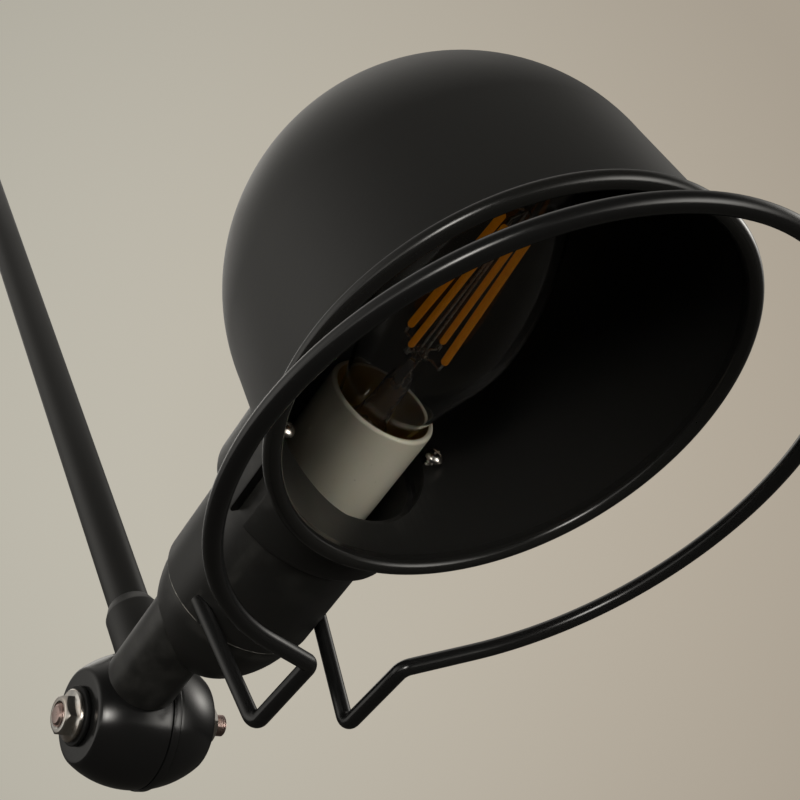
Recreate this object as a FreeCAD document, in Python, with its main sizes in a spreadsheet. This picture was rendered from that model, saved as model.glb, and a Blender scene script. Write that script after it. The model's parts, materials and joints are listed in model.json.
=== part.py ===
"""Wall light with a bulb lamp on two friction-jointed tube arms.

Millimetres, +Z up. The wall is the plane Y = 0 and the lamp reaches out along -Y.
Every arm and the head have a frame of their own: local X runs along the piece, away
from its joint, local Y is the world's +X and local Z is the piece's upper side.
"""
import FreeCAD
import Part
import Sketcher
import math
import os
import re

# Driving dimensions: name, value, meaning

SIZES = [
    ("plate_r", 46, "wall plate radius"),
    ("plate_edge", 4, "upright part of the wall plate's rim"),
    ("plate_thick", 6, "wall plate thickness"),
    ("plate_bevel", 3, "bevel on the wall plate's rim"),
    ("boss_r", 21, "radius of the boss on the wall plate"),
    ("boss_len", 19, "front of the boss, from the wall"),
    ("boss_root", 4, "fillet between boss and plate"),
    ("cavity_r", 17, "radius of the wiring space"),
    ("cavity_depth", 15, "depth of the wiring space"),
    ("plate_hole_r", 2.3, "radius of a wall screw hole"),
    ("plate_hole_pcd", 74, "circle through the wall screw holes"),
    ("plate_hole_count", 3, "number of wall screw holes"),
    ("pivot_reach", 33, "swivel axis, from the wall"),
    ("ear_r", 9, "half width and end radius of an ear"),
    ("ear_thick", 4, "thickness of an ear"),
    ("block_r", 9.5, "swivel block radius"),
    ("block_half", 9, "half the swivel block's height"),
    ("pivot_head_r", 5, "swivel bolt head radius"),
    ("pivot_head_high", 3.6, "swivel bolt head height"),
    ("shoulder_reach", 62, "shoulder centre, from the swivel axis"),
    ("rear_len", 300, "shoulder centre to elbow centre"),
    ("front_len", 390, "elbow centre to head joint centre"),
    ("rear_rise", 70, "rise of the rear arm, degrees"),
    ("front_fall", 52.2, "fall of the front arm, degrees"),
    ("head_rise", 30.8, "rise of the head, degrees"),
    ("head_roll", 3.3, "turn of the head about its own axis, degrees"),
    ("head_side", 1.1, "housing axis, from the middle of the head joint"),
    ("tube_r", 6.2, "arm tube radius"),
    ("tube_wall", 1.2, "arm tube wall"),
    ("arm_side", 9.9, "arm tube axis, from the middle of its joint"),
    ("collar_wall", 2.1, "arm collar wall over the tube"),
    ("collar_gap", 0.6, "gap between a joint's ball and a collar"),
    ("collar_len", 26.4, "collar length"),
    ("collar_taper", 4, "length of the collar's cone"),
    ("collar_lip", 0.5, "width of the collar's end face"),
    ("stub_cover", 4.4, "how far a collar covers the shell's stub"),
    ("duct_r", 3.4, "radius of the wire passage in a stub"),
    ("ball_r", 18.5, "joint shell radius"),
    ("ball_arc", 27.9, "radius of the shell's profile arc"),
    ("ball_flat", 17.4, "flat end of a shell, from the joint's middle"),
    ("ball_wall", 2, "joint shell wall"),
    ("seam_low", 1.1, "near side of the friction ring"),
    ("seam_wide", 2.2, "width of the friction ring"),
    ("seam_proud", 0.3, "how far the friction ring stands proud"),
    ("seam_in_r", 12.5, "bore radius of the friction ring"),
    ("seam_gap", 0.25, "gap between friction ring and turning shell"),
    ("bolt_r", 3, "joint bolt radius"),
    ("bolt_near_out", 0.7, "bolt end out of its nut on the nearer side"),
    ("bolt_far_out", 4.1, "bolt end out of its nut on the farther side"),
    ("bolt_bevel", 0.7, "bevel of the bolt end"),
    ("run_gap", 0.05, "radial clearance of a running fit"),
    ("washer_r", 7.9, "washer radius"),
    ("washer_thick", 1.2, "washer thickness"),
    ("washer_gap", 0.2, "gap between washer and turning shell"),
    ("nut_flat", 10, "nut width across flats"),
    ("nut_high", 4.4, "nut height with its flange"),
    ("nut_flange_r", 6.9, "nut flange radius"),
    ("nut_flange_high", 1, "height of the nut flange's edge"),
    ("disc_r", 15.23, "contact disc radius"),
    ("disc_thick", 2, "contact disc thickness"),
    ("disc_gap", 1, "radial gap between bolt and contact disc"),
    ("disc_near", 3.4, "face of the near disc, from the joint's middle"),
    ("disc_far", 6, "face of the far disc, from the joint's middle"),
    ("track_in_r", 7, "middle radius of the inner contact track"),
    ("track_out_r", 11, "middle radius of the outer contact track"),
    ("track_wide", 2, "width of a contact track"),
    ("track_thick", 1, "thickness of a contact track"),
    ("stud_r", 0.8, "radius of a contact stud"),
    ("stud_gap", 0.3, "gap between contact stud and track"),
    ("wire_r", 1.1, "radius of an insulated wire"),
    ("wire_side", 1.7, "offset of a wire from the tube's axis"),
    ("sleeve_side", 7, "head sleeve axis, from the middle of its joint"),
    ("sleeve_r", 9.8, "head sleeve radius"),
    ("sleeve_wall", 2, "head sleeve wall"),
    ("sleeve_in", 11.5, "how far the sleeve reaches past the cap's arcs"),
    ("cap_tail", 29.9, "tip of the rear cap, from the joint centre"),
    ("cap_tail_len", 6.6, "length of the cap's rear arc"),
    ("cap_mid_r", 13, "cap radius where its arcs meet"),
    ("cap_tail_arc", 16, "radius of the cap's rear arc"),
    ("cap_side_arc", 37, "radius of the cap's side arc"),
    ("cap_step", 0.8, "step from the cap up to the housing"),
    ("cap_wall", 1.5, "cap wall"),
    ("cap_gap", 0.3, "gap between cap and housing"),
    ("spigot_step", 3.2, "step from the housing down to the cap's spigot"),
    ("spigot_len", 5, "length of the cap's spigot in the housing"),
    ("retainer_thick", 1, "thickness of the retaining ring"),
    ("neck_r", 20.7, "housing radius"),
    ("neck_wall", 1.5, "housing wall"),
    ("cap_side_len", 19.9, "length of the cap's side arc with the gap"),
    ("neck_len", 48.3, "housing length"),
    ("neck_edge", 0.7, "rounding of the housing's rear edge"),
    ("band_wall", 3.6, "shade collar wall over the housing"),
    ("band_back", 16.7, "rear end of the shade collar, behind the housing's front"),
    ("band_edge", 2, "rounding of the shade collar's rear edge"),
    ("slot_wide", 5.2, "width of a slot in the shade collar"),
    ("slot_angle", 19, "slot below the collar's side, degrees"),
    ("slot_len", 18, "length of a slot from the collar's rear end"),
    ("shade_gap", 0.4, "rear of the dome, in front of the housing's front"),
    ("shade_lift", 1.95, "centre of the dome above the housing's axis"),
    ("shade_r", 51.3, "dome radius"),
    ("shade_wall", 1.2, "shade wall"),
    ("skirt_len", 33.1, "length of the shade's skirt"),
    ("skirt_r", 52.7, "radius at the skirt's lower end"),
    ("bead_r", 1.9, "radius of the rolled rim"),
    ("bead_out", 0.5, "rolled rim's centre line outside the skirt"),
    ("screw_angle", 7.5, "shade screw below the collar's side, degrees"),
    ("screw_r", 1.2, "shade screw radius"),
    ("screw_head_r", 2.6, "shade screw head radius"),
    ("screw_head_high", 1.9, "shade screw head height"),
    ("screw_len", 9, "shade screw length under its head"),
    ("guard_r", 66.9, "guard ring radius"),
    ("guard_gap", 1, "rear of the guard ring, in front of the legs' front bends"),
    ("guard_drop", 47.6, "guard ring centre below the housing's axis"),
    ("guard_tilt", 2.75, "tilt of the guard, degrees"),
    ("guard_wire_r", 1.95, "guard wire radius"),
    ("guard_waist", 13.2, "half distance between the guard's legs"),
    ("guard_leg", 27.6, "front bend of a leg, in front of the housing's rear end"),
    ("guard_foot", 24, "distance between a leg's two bends, along the lamp"),
    ("guard_bend", 3, "bend radius of the guard wire"),
    ("guard_root", 4.8, "end of a leg, in front of the housing's rear end"),
    ("guard_depth", 1.02, "how deep a leg's end stands in the housing"),
    ("guard_end_drop", 8.5, "end of a leg below the housing's axis"),
    ("holder_wall", 1.45, "lampholder wall round its mouth"),
    ("bracket_thick", 2, "holder bracket thickness"),
    ("holder_len", 34.7, "lampholder length"),
    ("holder_edge", 0.8, "rounding of the lampholder's rim"),
    ("mouth_gap", 3.7, "mouth radius over the glass's foot"),
    ("mouth_deep", 12.2, "depth of the lampholder's mouth"),
    ("thread_room", 0.8, "threaded shell radius over the bulb cap"),
    ("screw_shell_wall", 0.7, "threaded shell wall"),
    ("holder_floor", 5.5, "lampholder floor thickness"),
    ("contact_r", 2.6, "centre contact radius"),
    ("contact_high", 1.2, "centre contact height"),
    ("bracket_back", 16.7, "rear of the bracket, behind the housing's front"),
    ("bracket_bore", 4, "bore radius of the holder bracket"),
    ("holder_screw_side", 10, "holder screw, from the housing's axis"),
    ("holder_screw_r", 1.5, "holder screw radius"),
    ("holder_screw_head_r", 2.8, "holder screw head radius"),
    ("holder_screw_head_high", 1.8, "holder screw head height"),
    ("cap_screw_r", 7.1, "bulb cap radius"),
    ("cap_screw_gap", 2, "rear end of the bulb cap, over the holder's floor"),
    ("cap_screw_wall", 0.4, "bulb cap wall"),
    ("glass_foot", 1, "foot of the glass, in front of the mouth's bottom"),
    ("cap_flare", 1.5, "flare of the bulb cap round the glass"),
    ("glass_neck_len", 24.5, "length of the glass's neck"),
    ("glass_neck_r", 14.9, "glass radius at the end of its neck"),
    ("glass_neck_arc", 180, "radius of the neck's hollow arc"),
    ("glass_belly_len", 14, "length of the glass's lower arc"),
    ("glass_r", 17.4, "glass radius"),
    ("glass_belly_arc", 46, "radius of the glass's lower arc"),
    ("glass_side_len", 37, "length of the glass's upper arc"),
    ("glass_top_r", 6.4, "glass radius where its tip starts"),
    ("glass_side_arc", 72.7, "radius of the glass's upper arc"),
    ("glass_tip_len", 8.5, "length of the glass's tip"),
    ("glass_tip_arc", 9, "radius of the glass's tip"),
    ("glass_wall", 0.8, "glass wall"),
    ("stem_r", 4.2, "radius of the glass stem's foot"),
    ("stem_top_r", 2, "radius of the glass stem's top"),
    ("stem_len", 22.5, "length of the glass stem"),
    ("filament_gap", 6.1, "lower end of the filaments, over the stem"),
    ("filament_len", 34.9, "filament length"),
    ("filament_side", 6.2, "filament's lower end, from the bulb's axis"),
    ("filament_lean", 2, "how far a filament leans inwards"),
    ("filament_r", 0.95, "filament radius"),
    ("filament_count", 4, "number of filaments"),
    ("filament_turn", 20, "first filament's angle, degrees"),
    ("support_r", 0.35, "support wire radius"),
    ("terminal_long", 22, "terminal block length"),
    ("terminal_wide", 11, "terminal block width"),
    ("terminal_high", 9, "terminal block height"),
    ("terminal_hole_r", 1.6, "radius of a clamp hole"),
    ("terminal_pitch", 7, "distance between clamp holes"),
]

# Places and radii that follow from the sizes above

PLACES = [
    ("pivot_r", "bolt_r", "swivel bolt radius"),
    ("collar_r", "tube_r + collar_wall", "arm collar radius"),
    ("collar_low", "ball_r + collar_gap", "lower end of a collar"),
    ("collar_high", "collar_low + collar_len", "upper end of a collar"),
    ("stub_high", "collar_low + stub_cover", "end of the shell's stub"),
    ("seam_high", "seam_low + seam_wide", "far side of the friction ring"),
    ("bolt_near", "ball_flat + washer_gap + washer_thick + nut_high + bolt_near_out",
     "bolt end on the nearer side"),
    ("bolt_far", "ball_flat + washer_thick + nut_high + bolt_far_out",
     "bolt end on the farther side"),
    ("disc_bore", "bolt_r + disc_gap", "contact disc bore radius"),
    ("sleeve_low", "ball_flat", "lower end of the head sleeve"),
    ("cap_mid", "cap_tail + cap_tail_len", "where the cap's two arcs meet"),
    ("sleeve_high", "cap_mid + sleeve_in", "upper end of the head sleeve"),
    ("neck_low", "cap_mid + cap_side_len", "rear end of the housing"),
    ("neck_high", "neck_low + neck_len", "front end of the housing"),
    ("cap_r", "neck_r - cap_step", "cap radius at the housing"),
    ("spigot_r", "neck_r - spigot_step", "radius of the cap's spigot"),
    ("retainer_r", "neck_r - neck_wall - cap_gap", "radius of the retaining ring"),
    ("band_r", "neck_r + band_wall", "shade collar radius"),
    ("band_low", "neck_high - band_back", "rear end of the shade collar"),
    ("slot_end", "band_low + slot_len", "front end of a slot"),
    ("shade_reach", "neck_high + shade_gap + shade_r", "centre of the shade's dome"),
    ("bead_ring_r", "skirt_r + bead_out", "radius of the rolled rim's centre line"),
    ("screw_side", "neck_r + band_wall / 2", "shade screw, from the housing's axis"),
    ("screw_seat",
     "shade_reach - sqrt((shade_r - shade_wall)^2 - (screw_side + screw_head_r)^2)",
     "underside of the shade screw's head"),
    ("guard_waist_reach", "neck_low + guard_leg", "front bend of a leg"),
    ("guard_heel_reach", "guard_waist_reach - guard_foot", "rear bend of a leg"),
    ("guard_reach", "guard_waist_reach + guard_gap + guard_r", "guard ring centre"),
    ("guard_end_reach", "neck_low + guard_root", "end of a leg"),
    ("guard_end_side", "sqrt((neck_r - guard_depth)^2 - guard_end_drop^2)",
     "end of a leg, from the middle"),
    ("plate_low", "neck_high - bracket_back", "rear face of the holder bracket"),
    ("holder_low", "plate_low + bracket_thick", "rear end of the lampholder"),
    ("holder_high", "holder_low + holder_len", "rim of the lampholder"),
    ("glass_low_r", "cap_screw_r + cap_flare", "glass radius at the cap"),
    ("mouth_r", "glass_low_r + mouth_gap", "radius of the lampholder's mouth"),
    ("holder_r", "mouth_r + holder_wall", "lampholder radius"),
    ("mouth_low", "holder_high - mouth_deep", "bottom of the lampholder's mouth"),
    ("screw_shell_r", "cap_screw_r + thread_room", "threaded shell radius"),
    ("screw_shell_low", "holder_low + holder_floor", "rear end of the threaded shell"),
    ("cap_screw_low", "screw_shell_low + cap_screw_gap", "rear end of the bulb cap"),
    ("glass_low", "mouth_low + glass_foot", "where the bulb's glass starts"),
    ("glass_neck", "glass_low + glass_neck_len", "where the glass's neck ends"),
    ("glass_mid", "glass_neck + glass_belly_len", "where the glass is widest"),
    ("glass_top", "glass_mid + glass_side_len", "where the glass's tip starts"),
    ("glass_tip", "glass_top + glass_tip_len", "tip of the glass"),
    ("stem_high", "glass_low + stem_len", "top of the glass stem"),
    ("filament_low", "stem_high + filament_gap", "lower end of the filaments"),
]
NAMES = [row[0] for row in SIZES + PLACES]

doc = FreeCAD.newDocument("WallLight")
dims = doc.addObject("Spreadsheet::Sheet", "Dims")
for row, (alias, value, meaning) in enumerate(SIZES + PLACES, start=1):
    dims.set("A%d" % row, meaning)
    dims.set("B%d" % row, "=%s" % value)
    dims.setAlias("B%d" % row, alias)
doc.recompute()


# Sizes and expressions

def linked(text):
    """Expression text in which each size points at its spreadsheet cell."""
    return re.sub(
        r"[a-z][a-z0-9_]*",
        lambda word: "Dims." + word.group(0) if word.group(0) in NAMES else word.group(0),
        str(text),
    )


def size(text):
    """Value of an expression of named sizes."""
    return float(dims.evalExpression(linked(text)))


def bind(thing, name, text):
    thing.setExpression(name, linked(text))


# Frames

def aim(centre, rise, across=0, roll=0):
    """Frame at centre whose X axis points out of the wall and up by rise degrees."""
    turn = FreeCAD.Rotation(FreeCAD.Vector(1, 0, 0), -rise)
    turn = turn.multiply(FreeCAD.Rotation(FreeCAD.Vector(0, 0, 1), -90))
    turn = turn.multiply(FreeCAD.Rotation(FreeCAD.Vector(1, 0, 0), roll))
    base = centre + turn.multVec(FreeCAD.Vector(0, across, 0))
    return FreeCAD.Placement(base, turn)


def reach(centre, rise, length):
    """Point at length from centre along a direction that rises by rise degrees."""
    angle = math.radians(rise)
    return centre + FreeCAD.Vector(0, -math.cos(angle), math.sin(angle)) * length


# Sketches and features

def plane(body, role):
    return [item for item in body.Origin.OriginFeatures if item.Role == role][0]


def new_body(label, frame):
    body = doc.addObject("PartDesign::Body", label)
    body.Label = label
    body.Placement = frame
    return body


def new_sketch(body, name, role, lift="0"):
    """Sketch on one of the body's own planes, raised along the plane's normal."""
    sketch = body.newObject("Sketcher::SketchObject", name)
    sketch.AttachmentSupport = [(plane(body, role), "")]
    sketch.MapMode = "FlatFace"
    if str(lift) != "0":
        bind(sketch, "AttachmentOffset.Base.z", lift)
    return sketch


def pin_point(sketch, geometry, end, across, along):
    """Fix one point of a sketch by its two distances from the origin."""
    for kind, axis, text in (("DistanceX", -2, across), ("DistanceY", -1, along)):
        if abs(size(text)) < 1e-9:
            sketch.addConstraint(Sketcher.Constraint("PointOnObject", geometry, end, axis))
        else:
            index = sketch.addConstraint(
                Sketcher.Constraint(kind, -1, 1, geometry, end, size(text)))
            bind(sketch, "Constraints[%d]" % index, text)


def draw_outline(sketch, corners):
    """Closed outline; a corner may add the radius and side of the arc that leads to it."""
    points = [FreeCAD.Vector(size(item[0]), size(item[1]), 0) for item in corners]
    ends = []
    for index, corner in enumerate(corners):
        start = points[index - 1]
        finish = points[index]
        if len(corner) == 2:
            line = sketch.addGeometry(Part.LineSegment(start, finish))
            ends.append((line, 1, 2))
            continue
        radius = size(corner[2])
        left = FreeCAD.Vector(start.y - finish.y, finish.x - start.x, 0).normalize()
        half = start.distanceToPoint(finish) / 2
        sink = math.sqrt(max(radius * radius - half * half, 0))
        centre = (start + finish) * 0.5 - left * (sink * corner[3])
        first, last = (finish, start) if corner[3] > 0 else (start, finish)
        circle = Part.Circle(centre, FreeCAD.Vector(0, 0, 1), radius)
        begin = math.atan2(first.y - centre.y, first.x - centre.x)
        stop = math.atan2(last.y - centre.y, last.x - centre.x)
        arc = sketch.addGeometry(Part.ArcOfCircle(circle, begin, stop))
        ends.append((arc, 2, 1) if corner[3] > 0 else (arc, 1, 2))
        index = sketch.addConstraint(Sketcher.Constraint("Radius", arc, radius))
        bind(sketch, "Constraints[%d]" % index, corner[2])
    for index, corner in enumerate(corners):
        geometry, _, finish = ends[index]
        following, start, _ = ends[(index + 1) % len(corners)]
        sketch.addConstraint(
            Sketcher.Constraint("Coincident", geometry, finish, following, start))
        pin_point(sketch, geometry, finish, corner[0], corner[1])


def draw_circle(sketch, across, along, radius):
    circle = Part.Circle(
        FreeCAD.Vector(size(across), size(along), 0), FreeCAD.Vector(0, 0, 1), size(radius))
    index = sketch.addGeometry(circle)
    pin_point(sketch, index, 3, across, along)
    held = sketch.addConstraint(Sketcher.Constraint("Radius", index, size(radius)))
    bind(sketch, "Constraints[%d]" % held, radius)


def upright_axis(sketch, across):
    """Construction line that a turned feature can use as its axis."""
    foot = FreeCAD.Vector(size(across), 0, 0)
    line = sketch.addGeometry(
        Part.LineSegment(foot, foot + FreeCAD.Vector(0, 10, 0)), True)
    pin_point(sketch, line, 1, across, "0")
    pin_point(sketch, line, 2, across, "10")
    return "Axis0"


def turn(body, name, corners, axis="H_Axis", cut=False, role="XY_Plane"):
    """Turned solid, or turned cut, about an axis of its sketch."""
    sketch = new_sketch(body, name + "Outline", role)
    draw_outline(sketch, corners)
    kind = "PartDesign::Groove" if cut else "PartDesign::Revolution"
    feature = body.newObject(kind, name)
    feature.Profile = sketch
    feature.ReferenceAxis = (sketch, [axis])
    feature.Angle = 360
    return finish_feature(body, feature, sketch)


def finish_feature(body, feature, sketch):
    sketch.Visibility = False
    body.Tip = feature
    doc.recompute()
    return feature


def extrude(body, name, role, draw, low, high, cut=False):
    """Pad, or pocket, between two heights above one of the body's planes."""
    sketch = new_sketch(body, name + "Outline", role, low)
    draw(sketch)
    feature = body.newObject("PartDesign::Pocket" if cut else "PartDesign::Pad", name)
    feature.Profile = sketch
    feature.Reversed = cut
    bind(feature, "Length", "%s - (%s)" % (high, low))
    return finish_feature(body, feature, sketch)


def rod(body, name, role, across, along, radius, low, high, cut=False):
    return extrude(
        body, name, role, lambda sketch: draw_circle(sketch, across, along, radius),
        low, high, cut)


def group(label, seeds, frames):
    """One node that holds a copy of each seed's solid at each frame."""
    doc.recompute()
    copies = []
    for seed in seeds:
        seed.Visibility = False
        for frame in frames:
            copy = seed.Shape.copy()
            copy.Placement = frame
            copies.append(copy)
    node = doc.addObject("Part::Feature", label)
    node.Label = label
    node.Shape = Part.makeCompound(copies)
    return node


# Places of the joints

PIVOT = FreeCAD.Vector(0, -size("pivot_reach"), 0)
SHOULDER = PIVOT + FreeCAD.Vector(-size("arm_side"), -size("shoulder_reach"), 0)
ELBOW = reach(SHOULDER, size("rear_rise"), size("rear_len"))
HEAD = reach(ELBOW, -size("front_fall"), size("front_len"))
WALL = aim(FreeCAD.Vector(0, 0, 0), 0)
nodes = []


# Wall plate with its ears, and what is inside it

def wall_plate():
    body = new_body("wall_plate", WALL)
    turn(body, "PlateTurned", [
        ("0", "cavity_r"),
        ("0", "plate_r"),
        ("plate_edge", "plate_r"),
        ("plate_thick", "plate_r - plate_bevel"),
        ("plate_thick", "boss_r + boss_root"),
        ("plate_thick + boss_root", "boss_r", "boss_root", -1),
        ("boss_len", "boss_r"),
        ("boss_len", "0"),
        ("cavity_depth", "0"),
        ("cavity_depth", "cavity_r"),
    ])
    ear = [
        ("boss_len - 1", "-ear_r"),
        ("pivot_reach", "-ear_r"),
        ("pivot_reach + ear_r", "0", "ear_r", -1),
        ("pivot_reach", "ear_r", "ear_r", -1),
        ("boss_len - 1", "ear_r"),
    ]
    for name, low, high in (
            ("UpperEar", "block_half + cap_gap", "block_half + cap_gap + ear_thick"),
            ("LowerEar", "-block_half - cap_gap - ear_thick", "-block_half - cap_gap")):
        extrude(body, name, "XY_Plane", lambda sketch: draw_outline(sketch, ear), low, high)
    rod(body, "PivotHole", "XY_Plane", "pivot_reach", "0", "pivot_r",
        "-block_half - 2 * ear_thick", "block_half + 2 * ear_thick", cut=True)
    rod(body, "WallScrewHole", "YZ_Plane", "0", "plate_hole_pcd / 2", "plate_hole_r",
        "-1", "plate_thick + 1", cut=True)
    pattern = body.newObject("PartDesign::PolarPattern", "WallScrewHoles")
    pattern.Originals = [body.Tip]
    pattern.Axis = (plane(body, "X_Axis"), [""])
    pattern.Angle = 360
    bind(pattern, "Occurrences", "plate_hole_count")
    body.Tip = pattern
    return [body]


def swivel_bolt():
    """Bolt through both ears, its nut and its washer."""
    upper = "block_half + cap_gap + ear_thick"
    bolt = new_body("swivel_bolt", aim(PIVOT, 0))
    turn(bolt, "BoltTurned", [
        ("0", "-(%s) - nut_high - 1.5" % upper),
        ("pivot_r", "-(%s) - nut_high - 1.5" % upper),
        ("pivot_r", "%s + washer_thick" % upper),
        ("pivot_head_r", "%s + washer_thick" % upper),
        ("pivot_head_r", "%s + washer_thick + pivot_head_high - 1" % upper),
        ("pivot_head_r - 1", "%s + washer_thick + pivot_head_high" % upper, "1", 1),
        ("0", "%s + washer_thick + pivot_head_high" % upper),
    ], axis="V_Axis", role="XZ_Plane")
    height = size(upper)
    down = FreeCAD.Rotation(FreeCAD.Vector(0, 1, 0), 90)
    upward = FreeCAD.Rotation(FreeCAD.Vector(0, 1, 0), -90)
    nut = group("swivel_nut", [SEEDS["nut"]],
                [FreeCAD.Placement(PIVOT + FreeCAD.Vector(0, 0, -height), down)])
    washer = group("swivel_washer", [SEEDS["washer"]],
                   [FreeCAD.Placement(PIVOT + FreeCAD.Vector(0, 0, height), upward)])
    return [bolt, nut, washer]


def terminal_block():
    body = new_body("terminal_block", WALL)
    half = "terminal_long / 2"
    wide = "terminal_wide / 2"
    extrude(body, "BlockPad", "YZ_Plane", lambda sketch: draw_outline(sketch, [
        ("-" + half, "-" + wide), (half, "-" + wide), (half, wide), ("-" + half, wide),
    ]), "cavity_depth - terminal_high", "cavity_depth")
    for name, across in (
            ("NearClamp", "-terminal_pitch"), ("MiddleClamp", "0"), ("FarClamp", "terminal_pitch")):
        rod(body, name, "YZ_Plane", across, "0", "terminal_hole_r",
            "cavity_depth - terminal_high - 1", "cavity_depth - 2", cut=True)
    return [body]


# Fasteners that repeat: turned about local X, which points out of the joint

def flange_nut():
    body = new_body("nut_seed", FreeCAD.Placement())
    corner = "nut_flat / sqrt(3)"
    hexagon = [
        ("0", corner), ("-nut_flat / 2", corner + " / 2"), ("-nut_flat / 2", "-" + corner + " / 2"),
        ("0", "-" + corner), ("nut_flat / 2", "-" + corner + " / 2"),
        ("nut_flat / 2", corner + " / 2"),
    ]
    extrude(body, "HexPad", "YZ_Plane", lambda sketch: draw_outline(sketch, hexagon),
            "0", "nut_high")
    turn(body, "FlangeTurned", [
        ("0", "0"), ("0", "nut_flange_r"), ("nut_flange_high", "nut_flange_r"),
        ("nut_flange_high + 0.7", "nut_flat / 2"), ("nut_flange_high + 0.7", "0"),
    ])
    turn(body, "CornerCut", [
        ("nut_high", "nut_flat / 2 - 0.1"), ("nut_high + 1", "nut_flat / 2 - 0.1"),
        ("nut_high + 1", "nut_flat"), ("nut_high - 1.2", "nut_flat / 2 + 1.9"),
    ], cut=True)
    rod(body, "NutBore", "YZ_Plane", "0", "0", "bolt_r", "-1", "nut_high + 1", cut=True)
    return body


def washer_seed():
    body = new_body("washer_seed", FreeCAD.Placement())
    turn(body, "WasherTurned", [
        ("0", "bolt_r"), ("0", "washer_r"), ("washer_thick - 0.3", "washer_r"),
        ("washer_thick", "washer_r - 0.3"), ("washer_thick", "bolt_r"),
    ])
    return body


def pan_screw(label, radius, head_r, head_high, length):
    """Screw whose head's underside lies at local X = 0, head towards +X."""
    body = new_body(label, FreeCAD.Placement())
    turn(body, "ScrewTurned", [
        ("-(%s)" % length, "0"), ("-(%s)" % length, radius), ("0", radius), ("0", head_r),
        ("%s * 0.35" % head_high, head_r),
        (head_high, "%s * 0.3" % head_r, "%s * 1.05" % head_r, 1),
        (head_high, "0"),
    ])
    return body


# Friction joint: two half shells on a bolt

def shell_radius(depth, wall="0"):
    """Radius of the shell's profile at a distance from the joint's middle."""
    return "sqrt((ball_arc - %s)^2 - (%s)^2) - ball_arc + ball_r" % (wall, depth)


def half_shell(label, centre, rise, far, stub_r, side):
    """Half shell with its stub; far is the half towards world +X."""
    body = new_body(label, aim(centre, rise))
    if far:
        face, flat, inner = "seam_high", "ball_flat", "ball_flat - ball_wall"
        bow = -1
    else:
        face, flat, inner = "seam_low - seam_gap", "-ball_flat", "-ball_flat + ball_wall"
        bow = 1
    turn(body, "ShellTurned", [
        ("0", flat), (shell_radius("ball_flat"), flat),
        (shell_radius(face), face, "ball_arc", -bow), ("0", face),
    ], axis="V_Axis")
    rod(body, "Stub", "YZ_Plane", side, "0", stub_r, "0", "stub_high")
    hole = "bolt_r" if far else "bolt_r + run_gap"
    turn(body, "Hollow", [
        ("0", flat), (hole, flat), (hole, inner),
        (shell_radius("ball_flat - ball_wall", "ball_wall"), inner),
        (shell_radius(face, "ball_wall"), face, "ball_arc - ball_wall", -bow),
        ("0", face),
    ], axis="V_Axis", cut=True)
    rod(body, "Duct", "YZ_Plane", side, "0", "duct_r", "0", "stub_high + 1", cut=True)
    return body


def joint_inside(name, centre, rise_near, rise_far):
    """Friction ring, contact discs and brass tracks inside one joint."""
    ring = new_body(name + "_friction_ring", aim(centre, rise_far))
    proud = shell_radius("seam_low") + " + seam_proud"
    turn(ring, "RingTurned", [
        ("seam_in_r", "seam_low"), (proud, "seam_low"), (proud, "seam_high"),
        ("seam_in_r", "seam_high"),
    ], axis="V_Axis")
    near = new_body(name + "_near_disc", aim(centre, rise_near))
    turn(near, "DiscTurned", [
        ("disc_bore", "-disc_near - disc_thick"), ("disc_r", "-disc_near - disc_thick"),
        ("disc_r", "-disc_near"), ("disc_bore", "-disc_near"),
    ], axis="V_Axis")
    for place, middle in (("Inner", "track_in_r"), ("Outer", "-track_out_r")):
        rod(near, place + "Stud", "XZ_Plane", middle, "0", "stud_r",
            "-disc_far + track_thick + stud_gap", "disc_near + disc_thick / 2")
    far = new_body(name + "_far_disc", aim(centre, rise_far))
    turn(far, "DiscTurned", [
        ("disc_bore", "disc_far"), ("disc_r", "disc_far"),
        ("disc_r", "disc_far + disc_thick"), ("disc_bore", "disc_far + disc_thick"),
    ], axis="V_Axis")
    rings = []
    for place, middle in (("inner", "track_in_r"), ("outer", "track_out_r")):
        track = new_body("%s_%s_track" % (name, place), FreeCAD.Placement())
        turn(track, "TrackTurned", [
            (middle + " - track_wide / 2", "disc_far - track_thick"),
            (middle + " + track_wide / 2", "disc_far - track_thick"),
            (middle + " + track_wide / 2", "disc_far"),
            (middle + " - track_wide / 2", "disc_far"),
        ], axis="V_Axis")
        rings.append(track)
    tracks = group(name + "_tracks", rings, [aim(centre, rise_far)])
    return [ring, near, far, tracks]


def joint_bolt(name, centre, rise):
    """Bolt through both shells with a washer and a nut at each end."""
    frame = aim(centre, rise)
    bolt = new_body(name + "_bolt", frame)
    turn(bolt, "BoltTurned", [
        ("0", "-bolt_near"), ("bolt_r - bolt_bevel", "-bolt_near"),
        ("bolt_r", "-bolt_near + bolt_bevel"), ("bolt_r", "bolt_far - bolt_bevel"),
        ("bolt_r - bolt_bevel", "bolt_far"), ("0", "bolt_far"),
    ], axis="V_Axis")
    ends = []
    for side, gap in ((-1, "washer_gap"), (1, "0")):
        spin = FreeCAD.Rotation(FreeCAD.Vector(0, 0, 1), 90 * side)
        seat = side * size("ball_flat + " + gap)
        ends.append((side, spin, seat))
    washers = group(name + "_washers", [SEEDS["washer"]], [
        frame.multiply(FreeCAD.Placement(FreeCAD.Vector(0, seat, 0), spin))
        for side, spin, seat in ends])
    thick = size("washer_thick")
    nuts = group(name + "_nuts", [SEEDS["nut"]], [
        frame.multiply(FreeCAD.Placement(FreeCAD.Vector(0, seat + side * thick, 0), spin))
        for side, spin, seat in ends])
    return [bolt, washers, nuts]


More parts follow.
